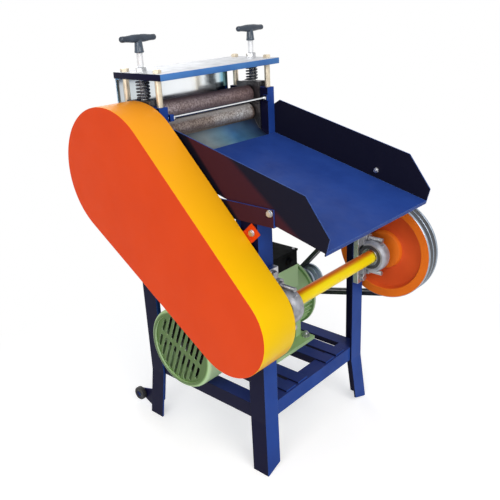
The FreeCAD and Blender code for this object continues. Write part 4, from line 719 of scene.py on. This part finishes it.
for name, look in roller_looks.items():
    start, end = centre_line(name)
    low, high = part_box(name)
    bm = bmesh.new()
    knurled_roller(bm, middle - 0.178, middle + 0.178, (high.z - low.z) / 2, start.y, start.z)
    knurl_faces = len(bm.faces)
    rod(bm, journal_radius, start, (middle - 0.177, start.y, start.z), 40, 0.0008)
    rod(bm, journal_radius, (middle + 0.177, start.y, start.z), end, 40, 0.0008)
    second_finish(bm, knurl_faces)
    finish_piece(name + "_knurled", bm, name + "_set", [look, journal_steel], [name], sharp=20)

block_steel = steel("block_steel", (0.16, 0.155, 0.16), 0.38, 0.5, relief=0.3)
dress(block_steel, "lower_bearing_blocks", "upper_bearing_blocks")
dress(steel("bush_bronze", (0.62, 0.42, 0.20), 0.35), "drive_shaft_bushes")

# ---- guide rod ----
# A polished 8 mm steel rod that lies across the machine in front of the nip.
# It is held by a domed nut inside each lug.
polished = steel("polished_rod", (0.80, 0.82, 0.84), 0.16, 0.9, relief=0.04)
tree = polished.node_tree
# Painted reflection of a dark room along the top and underside of the rod.
painted_dark_reflection = (0.03, 0.035, 0.04)
paint_light_on_faces(tree, tree.nodes["Principled BSDF"], (painted_dark_reflection, "Z", 0.55, 0.95),
            (painted_dark_reflection, "Z", -0.10, -0.60))
start, end = centre_line("guide_rod")
lug = Vector((0.012, 0, 0))
bm = bmesh.new()
rod(bm, 0.004, start, end)
for side, seat in ((1, start + lug), (-1, end - lug)):
    hexagon(bm, seat, (side, 0, 0), 0.013, 0.0055, 0.0008)
    turned(bm, [(0.0055, 0.0058), (0.0075, 0.0056), (0.0095, 0.0048), (0.0105, 0.0041)],
           (side, 0, 0), seat, 24)
finish_piece("nip_rod", bm, "frame", [polished], ["guide_rod"])

# ---- apron ----
# Curved steel sheet that leads the cable into the nip.
# Blue on the right, scuffed by use and darker towards its upper edge.
apron_look, tree, shader = material_tree("scuffed_sheet")
cloud = noise(tree, 11.0, 5.0, (1.0, 1.6, 1.6))
tone = placed(tree, "X", (-0.165, (0.10, 0.12, 0.12)), (-0.02, (0.36, 0.42, 0.42)),
              (0.04, (0.22, 0.42, 0.54)), (0.085, (0.08, 0.28, 0.58)), (0.135, (0.10, 0.25, 0.44)),
              (0.175, (0.04, 0.09, 0.20)), (0.196, (0.012, 0.02, 0.05)))
rise = placed(tree, "Z", (0.786, (1.0, 1.0, 1.0)), (0.800, (0.85, 0.85, 0.85)),
              (0.816, (0.50, 0.52, 0.55)), (0.832, (0.16, 0.18, 0.22)))
scuffs = steps(tree, cloud, (0.38, (0.55, 0.55, 0.55)), (0.60, (1.0, 1.0, 1.0)))
tone = mixed(tree, 0.8, mixed(tree, 1.0, tone, rise, "MULTIPLY"), scuffs, "MULTIPLY")
normal = edged(tree, shader, tone, (0.30, 0.36, 0.42), 0.3)
shader.inputs["Metallic"].default_value = 0.35
roughened(tree, shader, cloud, 0.28, 0.45)
bumped(tree, shader, noise(tree, 250.0, 3.0, (0.1, 1, 1)), 0.0002, 0.12, normal)
dress(apron_look, "apron")

# ---- feed tray ----
# Folded 3 mm sheet with cut corners, bolted inside the upper rails.  Blue enamel,
# with painted shade, a painted red reflection of the guard and a painted shadow band on the tall side
# walls, and a wide painted highlight along its folds.
# The wide fold spreads the lighter edges into a painted highlight along the folds.
tray_blue = blue_enamel("tray_blue", (0.020, 0.058, 0.27), (0.014, 0.042, 0.215), with_guard_reflection=True,
                        fold=0.0028)
dress(tray_blue, "feed_tray")

# ---- frame bolts ----
# Bright zinc-plated M8 bolts with washers, most of them with a nut behind.
# They hold the tray to the rails and the cheeks, and the guard's two tabs to the legs.
def washer(bm, seat, axis, bore, radius, thick, cut):
    """A flat washer on its seat, with its outer corners cut."""
    turned(bm, [(0, bore), (0, radius - 0.0004), (cut, radius), (thick - cut, radius),
                (thick, radius - 0.0004), (thick, bore)], axis, seat, 28)


tray_y, tray_z = stand_y - 0.264, 0.722
ear_y, ear_z = stand_y + 0.092, 0.850
guard_face = middle - 0.218
tab_places = ((-0.14748, 0.66389), (0.25283, 0.58958))
bolt_spots = [((middle + side * out, y, z), side, grip) for side in (-1, 1)
              for out, y, z, grip in ((0.223, tray_y, tray_z, 0.018), (0.2187, ear_y, ear_z, 0.013))]
bolt_spots += [((guard_face, y, z), -1, 0.019) for y, z in tab_places]
bm = bmesh.new()
for i, (seat, side, grip) in enumerate(bolt_spots):
    seat, out = Vector(seat), Vector((side, 0, 0))
    washer(bm, seat, out, 0.0042, 0.0084, 0.0016, 0.0003)
    hexagon(bm, seat + out * 0.0016, out, 0.013, 0.0042, 0.0009, turn=13 * i)
    rod(bm, 0.004, seat + out * 0.002, seat - out * grip, 20)
for side in (-1, 1):
    hexagon(bm, (middle + side * 0.2157, tray_y, tray_z), (-side, 0, 0), 0.013, 0.0055, 0.0009)
for y, z in tab_places:
    hexagon(bm, (guard_face + 0.008, y, z), (1, 0, 0), 0.013, 0.0055, 0.0009)
finish_piece("m8_bolts", bm, "frame", [bright_zinc], ["frame_bolts"])

# ---- chain guard ----
# Sheet cover: a flat face the shape of a belt round two wheels, welded to a wide rim.
# One orange enamel in two painted copies: a shaded red-orange on the face and tabs, and a lit
# yellow-orange on the rim with painted shade on its undersides.  It has two bolted tabs.
# Painted shade: the orange enamel darkened to red-orange for the face and tabs.
guard_shaded_paint = enamel("guard_shaded_paint", (0.71, 0.058, 0.005), (0.68, 0.053, 0.004), (0.86, 0.11, 0.015),
                   0.36, shine=0.12)[0]
# Painted light: the same enamel lightened to yellow-orange for the rim.
guard_lit_paint, tree, shader = enamel("guard_lit_paint", (0.92, 0.46, 0.004), (0.90, 0.38, 0.004),
                                    (0.92, 0.58, 0.10), 0.36, shine=0.05)
# More painted light low on the rim, yellower there and redder higher up.
paint = placed(tree, "Z", (0.42, (0.95, 0.62, 0.001)), (0.62, (0.90, 0.47, 0.004)),
               (0.80, (0.88, 0.38, 0.010)), (0.93, (0.86, 0.31, 0.018)))
tree.links.new(paint, shader.inputs["Base Color"])
# Painted shade on the rim's undersides.
paint_light_on_faces(tree, shader, ((0.90, 0.26, 0.006), "Z", -0.35, -0.92))
low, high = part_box("chain_guard")
upper, upper_radius = Vector((0, stand_y + 0.147, 0.7705)), 0.1655
lower, lower_radius = Vector((0, stand_y - 0.215, 0.470)), 0.116
guard_inner = middle - 0.226
line = upper - lower
heading = math.atan2(line.z, line.y)
opening = math.acos((lower_radius - upper_radius) / line.length)
straight = math.sqrt(line.length ** 2 - (upper_radius - lower_radius) ** 2)
bm = bmesh.new()


def arc(bm, centre, radius, start, sweep, x, count):
    """Points along an arc in a plane across the machine, by spinning its first one."""
    first = bm.verts.new((x, centre.y + radius * math.cos(start), centre.z + radius * math.sin(start)))
    bmesh.ops.spin(bm, geom=[first], cent=(x, centre.y, centre.z), axis=(1, 0, 0), dvec=(0, 0, 0),
                   angle=sweep, steps=count, use_merge=False, use_duplicate=False)


arc(bm, upper, upper_radius, heading - opening, 2 * opening, low.x, 72)
arc(bm, lower, lower_radius, heading + opening, math.tau - 2 * opening, low.x, 48)
loose = [vert for vert in bm.verts if len(vert.link_edges) == 1]
for vert in loose[:2]:
    others = [other for other in loose[2:] if other.is_valid]
    nearest = min(others, key=lambda other: abs((other.co - vert.co).length - straight))
    bm.edges.new((vert, nearest))
    loose.remove(nearest)
face = bmesh.ops.contextual_create(bm, geom=bm.edges[:])["faces"][0]
made = bmesh.ops.extrude_face_region(bm, geom=[face], use_keep_orig=True)
moved = [item for item in made["geom"] if isinstance(item, bmesh.types.BMVert)]
bmesh.ops.translate(bm, verts=moved, vec=(guard_inner - low.x, 0, 0))
open_end = [item for item in made["geom"] if isinstance(item, bmesh.types.BMFace)]
bmesh.ops.delete(bm, geom=open_end, context="FACES_ONLY")
bmesh.ops.recalc_face_normals(bm, faces=bm.faces)
for item in bm.faces:
    item.material_index = 0 if abs(item.normal.x) > 0.9 else 1
if sum(item.normal.x * item.calc_area() for item in bm.faces if item.material_index == 0) > 0:
    bmesh.ops.reverse_faces(bm, faces=bm.faces[:])
guard = finish_piece("guard_shell", bm, "frame", [guard_shaded_paint, guard_lit_paint], ["chain_guard"],
                     sharp=30)
sheet = guard.modifiers.new("sheet", "SOLIDIFY")
sheet.thickness = 0.002
sheet.offset = -1.0
soften(guard, "fold", 0.0012, 60)

bm = bmesh.new()
taper = math.asin((upper_radius - lower_radius) / line.length)
for (y, z), edge in zip(tab_places, (1, -1)):
    tilt = heading + edge * taper + (math.pi if edge < 0 else 0)
    place = Matrix.Translation((0, y, z)) @ Matrix.Rotation(tilt, 4, "X")
    for start, top in ((guard_face, 0.017), (guard_inner - 0.016, -0.014)):
        end = guard_face + 0.003
        block(bm, ((start + end) / 2, 0, (top - 0.017) / 2),
              (end - start, 0.034, top + 0.017), place)
finish_piece("guard_tabs", bm, "frame", [guard_shaded_paint], ["chain_guard"], bevel=0.0008)

# ---- chain, sprockets and gears ----
# Roller chain between an 11 and a 45 tooth sprocket, and spur gears to both rollers.
# Machined steel, dark with chain oil.
oiled = steel("oiled_steel", (0.20, 0.185, 0.165), 0.28, 0.5, relief=0.2)
chain_look = steel("chain_steel", (0.30, 0.29, 0.28), 0.30, 0.5)
dress(chain_look, "drive_chain")
dress(oiled, "small_sprocket", "large_sprocket", "drive_gear", "lower_roller_gear",
      "upper_roller_gear")
low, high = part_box("drive_shaft")
bm = bmesh.new()
rod(bm, (high.z - low.z) / 2, *centre_line("drive_shaft"), 40, 0.0012)
shaft_steel = steel("shaft_steel", (0.48, 0.48, 0.49), 0.26, 0.7, stretch=(10, 1, 1))
finish_piece("cross_shaft", bm, "drive_shaft_set", [shaft_steel], ["drive_shaft"])

# ---- jackshaft and bearings ----
# A 35 mm steel shaft in orange paint, whose yellow is painted light, with painted shade in
# orange along its top and underside.  It runs in two cast pillow blocks that are studded to thick
# bright plates on the front legs.
# Painted light: the orange paint lightened to yellow where light falls on it.
shaft_yellow, tree, shader = enamel("shaft_yellow", (0.98, 0.76, 0.002), (0.97, 0.68, 0.002),
                                    (0.95, 0.62, 0.02), 0.32, shine=0.15)
painted_orange_shade = (0.80, 0.16, 0.004)
# Painted shade along the top and underside.
paint_light_on_faces(tree, shader, (painted_orange_shade, "Z", 0.70, 0.98), (painted_orange_shade, "Z", -0.60, -0.92))
start, end = centre_line("jackshaft")
jack_y, jack_z = start.y, start.z
bm = bmesh.new()
rod(bm, 0.0175, start, end, 56, 0.0015)
finish_piece("yellow_shaft", bm, "jackshaft_set", [shaft_yellow], ["jackshaft"])

block_grey = steel("block_grey", (0.40, 0.41, 0.45), 0.45, 0.62, metallic=0.3, relief=0.5,
                   grain=500.0)
block_dark = steel("block_dark", (0.085, 0.09, 0.105), 0.40, 0.6, metallic=0.6)
ring_steel = steel("ring_steel", (0.40, 0.42, 0.46), 0.25, 0.6)
plate_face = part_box("mount_plates")[0].y
bearing_x = (middle - 0.183, middle + 0.202)
crown = mirrored([(-0.019, 0.0245), (-0.019, 0.0385), (-0.0175, 0.0392), (-0.0145, 0.0425),
                  (-0.010, 0.0444), (-0.004, 0.0450)])
bm = bmesh.new()
for x in bearing_x:
    turned(bm, crown + crown[:1], (1, 0, 0), (x, jack_y, jack_z), 56)
    for vert in bm.verts:
        if vert.co.y > plate_face - 0.0002 and abs(vert.co.x - x) < 0.02:
            vert.co.y = plate_face - 0.0002
for x in bearing_x:
    foot = block(bm, (x, plate_face - 0.007, jack_z), (0.038, 0.014, 0.12))
    long_edges = {edge for vert in foot for edge in vert.link_edges
                  if abs((edge.verts[0].co - edge.verts[1].co).y) > 0.01}
    bmesh.ops.bevel(bm, geom=list(long_edges), offset=0.0095, segments=5, profile=0.5,
                    affect="EDGES", material=-1)
    nipple = Vector((x - 0.004, jack_y - 0.030, jack_z + 0.0325))
    lean = Vector((0, -0.68, 0.73)).normalized()
    hexagon(bm, nipple, lean, 0.007, 0.004, 0.0005)
    turned(bm, [(0.004, 0.0024), (0.0065, 0.0020), (0.0070, 0.0030), (0.0085, 0.0030),
                (0.0095, 0.0016), (0.0095, 0)], lean, nipple, 16)
finish_piece("bearing_housings", bm, "frame", [block_grey], ["pillow_blocks"], sharp=40,
             bevel=0.0009)
bm = bmesh.new()
for x in bearing_x:
    for side in (-1, 1):
        turned(bm, [(0.0188, 0.0335), (0.0195, 0.0335), (0.0195, 0.0245), (0.0188, 0.0245)],
               (side, 0, 0), (x, jack_y, jack_z), 48)
finish_piece("bearing_seals", bm, "frame", [block_dark], sharp=40)
ring = mirrored([(-0.020, 0.0176), (-0.020, 0.0234), (-0.0194, 0.0240)])
bm = bmesh.new()
for x in bearing_x:
    turned(bm, ring + ring[:1], (1, 0, 0), (x, jack_y, jack_z), 48)
    for turn in (70, 190):
        lean = Vector((0, math.cos(math.radians(turn)), math.sin(math.radians(turn))))
        seat = Vector((x - 0.0194, jack_y, jack_z)) + lean * 0.021
        rod(bm, 0.0018, seat, seat + Vector((-0.0006, 0, 0)), 12)
finish_piece("inner_rings", bm, "jackshaft_set", [ring_steel], ["bearing_inner_rings"])

plate_steel = steel("plate_steel", (0.66, 0.67, 0.70), 0.30, 0.72, stretch=(6, 1, 1))
plate_x = (middle - 0.187, middle + 0.199)
low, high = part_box("mount_plates")
bm = bmesh.new()
for x in plate_x:
    block(bm, (x, (low.y + high.y) / 2, jack_z), (0.042, high.y - low.y, high.z - low.z))
finish_piece("bearing_plates", bm, "frame", [plate_steel], ["mount_plates"], bevel=0.0012)
bm = bmesh.new()
m12_flats, m12_washer = 0.019, (0.0065, 0.0122, 0.0022, 0.0004)
for x, bearing in zip(plate_x, bearing_x):
    for rise in (-1, 1):
        stud = Vector((bearing, plate_face, jack_z + rise * 0.048))
        out = Vector((0, -1, 0))
        threaded(bm, 0.006, stud + out * 0.062, stud + out * 0.010, 0.00175, 20)
        washer(bm, stud + out * 0.014, out, *m12_washer)
        hexagon(bm, stud + out * 0.0162, out, m12_flats, 0.0085, turn=11 * rise)
        bolt = Vector((x, plate_face, jack_z + rise * 0.072))
        washer(bm, bolt, out, *m12_washer)
        hexagon(bm, bolt + out * 0.0022, out, m12_flats, 0.0076, turn=7 * rise)
        hexagon(bm, bolt - out * 0.021, -out, m12_flats, 0.008)
        rod(bm, 0.006, bolt + out * 0.004, bolt - out * 0.0315, 20, 0.001)
bolt_steel = steel("bolt_steel", (0.44, 0.44, 0.46), 0.34, 0.5, metallic=0.8)
finish_piece("m12_bolts", bm, "frame", [bolt_steel], ["bearing_bolts"])

# ---- belt drive ----
# A two-groove cast pulley on the jackshaft, painted orange with a bare grooved rim and painted
# shade in red on its recessed web, a small turned pulley on the motor and two B-section V-belts.
pulley_orange = enamel("pulley_orange", (0.80, 0.170, 0.014), (0.74, 0.145, 0.012),
                       (0.90, 0.36, 0.08), 0.40, shine=0.08)[0]
# Painted shade: the orange darkened to red in the recessed web.
pulley_recess_shade = enamel("pulley_recess_shade", (0.72, 0.095, 0.018), (0.62, 0.070, 0.014), (0.85, 0.25, 0.06),
                    0.36, shine=0.12)[0]
rim_steel = steel("rim_steel", (0.38, 0.44, 0.52), 0.40, 0.7, stretch=(12, 1, 1))


def groove_line(radius, bottom):
    """The outer line of a rim with two belt grooves, from its left to its right edge."""
    half_top = 0.00869
    half_bottom = half_top - (radius - bottom) * math.tan(math.radians(20))
    line = [(0.0008, radius - 0.0008), (0.0016, radius)]
    for groove in (0.0155, 0.0345):
        line += [(groove - half_top - 0.0003, radius), (groove - half_top + 0.0003, radius - 0.0007),
                 (groove - half_bottom, bottom), (groove + half_bottom, bottom),
                 (groove + half_top - 0.0003, radius - 0.0007),
                 (groove + half_top + 0.0003, radius)]
    return line + [(0.0484, radius), (0.0492, radius - 0.0008)]


pulley_start, rim_width = middle + 0.250, 0.050
web, face_end = 0.015, rim_width - 0.004
near = [(0, 0.0180), (0, 0.0490), (0.0012, 0.0522), (0.004, 0.0536), (web - 0.004, 0.0552),
        (web - 0.0012, 0.0566), (web, 0.0600), (web, 0.1080), (web - 0.0012, 0.1118),
        (web - 0.004, 0.1134), (0.002, 0.1162), (0, 0.1180), (0, 0.1404)]
far = [(rim_width - along, radius) for along, radius in reversed(near)]
pulley_place = Vector((pulley_start, jack_y, jack_z))
bm = bmesh.new()
turned(bm, near + groove_line(0.142, 0.1275) + far + near[:1], (1, 0, 0), pulley_place, 96)
for face in bm.faces:
    along, *across = face.calc_center_median() - pulley_place
    out = math.hypot(*across)
    if out > 0.1405 or out > 0.1265 and 0.004 < along < face_end:
        face.material_index = 2
    elif 0.0545 < out < 0.1165:
        face.material_index = 1
block(bm, pulley_place + Vector((rim_width - 0.001, 0, 0.0165)), (0.006, 0.010, 0.006))
finish_piece("belt_pulley", bm, "jackshaft_set", [pulley_orange, pulley_recess_shade, rim_steel], ["big_pulley"],
             sharp=28)

hub, motor_y, motor_z = centre_line("motor_pulley")[0]
hub_start = hub - pulley_start
bm = bmesh.new()
turned(bm, [(hub_start, 0.0141), (hub_start, 0.0268), (hub_start + 0.0012, 0.0280), (-0.004, 0.0280),
            (0, 0.0300), (0, 0.0436)] + groove_line(0.045, 0.0305)
       + [(rim_width, 0.0436), (rim_width, 0.0300), (face_end, 0.0280), (face_end, 0.0141),
          (hub_start, 0.0141)], (1, 0, 0), (pulley_start, motor_y, motor_z), 72)
grub_screw = Vector((hub + 0.012, motor_y, motor_z))
rod(bm, 0.003, grub_screw + Vector((0, 0, 0.0262)), grub_screw + Vector((0, 0, 0.0284)), 16)
finish_piece("small_pulley", bm, "motor_rotor", [rim_steel], ["motor_pulley"], sharp=28)

belt_black = rubber("belt_black", (0.016, 0.018, 0.022), 0.38)
dress(belt_black, "v_belts")

# ---- motor ----
# A totally enclosed induction motor: finned barrel with a plain sector, end cover, feet
# and a slotted sheet cowl over its fan.  Cast parts and cowl are sprayed pale green, with painted light
# on the faces to the front and painted shade on the faces towards the guard.
def pale_green(name, painted_front_light, painted_end_shade):
    """Green enamel with painted light on the faces to the front and painted shade on the faces towards
    the guard.
    """
    material, tree, shader = enamel(name, (0.42, 0.64, 0.29), (0.35, 0.57, 0.23), (0.62, 0.80, 0.50),
                                    0.38, 500.0, 0.3)
    # Painted light on the faces to the front and painted shade on those towards the guard.
    paint_light_on_faces(tree, shader, (painted_front_light, "Y", -0.35, -0.97), (painted_end_shade, "X", -0.8, -0.98))
    return material


dress(pale_green("motor_green", (0.50, 0.73, 0.38), (0.22, 0.40, 0.15)), "motor_housing",
      "motor_end_bell")
# The cowl's slotted end gets deeper painted shade.
dress(pale_green("cowl_green", (0.56, 0.78, 0.47), (0.085, 0.158, 0.040)), "motor_fan_cowl")
dress(moulded("fan_black", (0.012, 0.012, 0.012)), "cooling_fan")
dress(shaft_steel, "rotor_shaft")
bm = bmesh.new()
low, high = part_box("motor_bolts")
foot_top, foot_bottom = 0.205, 0.190
for x in (middle - 0.044, middle + 0.134):
    for side in (-1, 1):
        y = motor_y + side * 0.098
        turned(bm, [(0, 0.0065), (0, 0.0122), (0.0025, 0.0122), (0.0025, 0.0065)], (0, 0, 1),
               (x, y, foot_top), 28)
        hexagon(bm, (x, y, foot_top + 0.0025), (0, 0, 1), m12_flats, 0.0078, turn=9 * side)
        rod(bm, 0.006, (x, y, low.z), (x, y, foot_top + 0.016), 24, 0.001)
        hexagon(bm, (x, y, foot_bottom), (0, 0, -1), m12_flats, 0.008)
finish_piece("foot_bolts", bm, "frame", [bright_zinc], ["motor_bolts"])

# ---- terminal box ----
# Black moulded plastic box on the motor, with a cable gland.
# Four bright screws hold its lid.
box_black = moulded("box_black", (0.010, 0.011, 0.011), 0.60, 0.02)
dress(box_black, "terminal_box", "terminal_box_lid")
low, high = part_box("terminal_box_lid")
bm = bmesh.new()
for x in (low.x + 0.009, high.x - 0.009):
    for y in (low.y + 0.009, high.y - 0.009):
        turned(bm, [(0, 0.0044), (0.0016, 0.0040), (0.0022, 0.0028), (0.0022, 0)], (0, 0, 1),
               (x, y, high.z), 20)
finish_piece("lid_screws", bm, "frame", [bright_zinc])
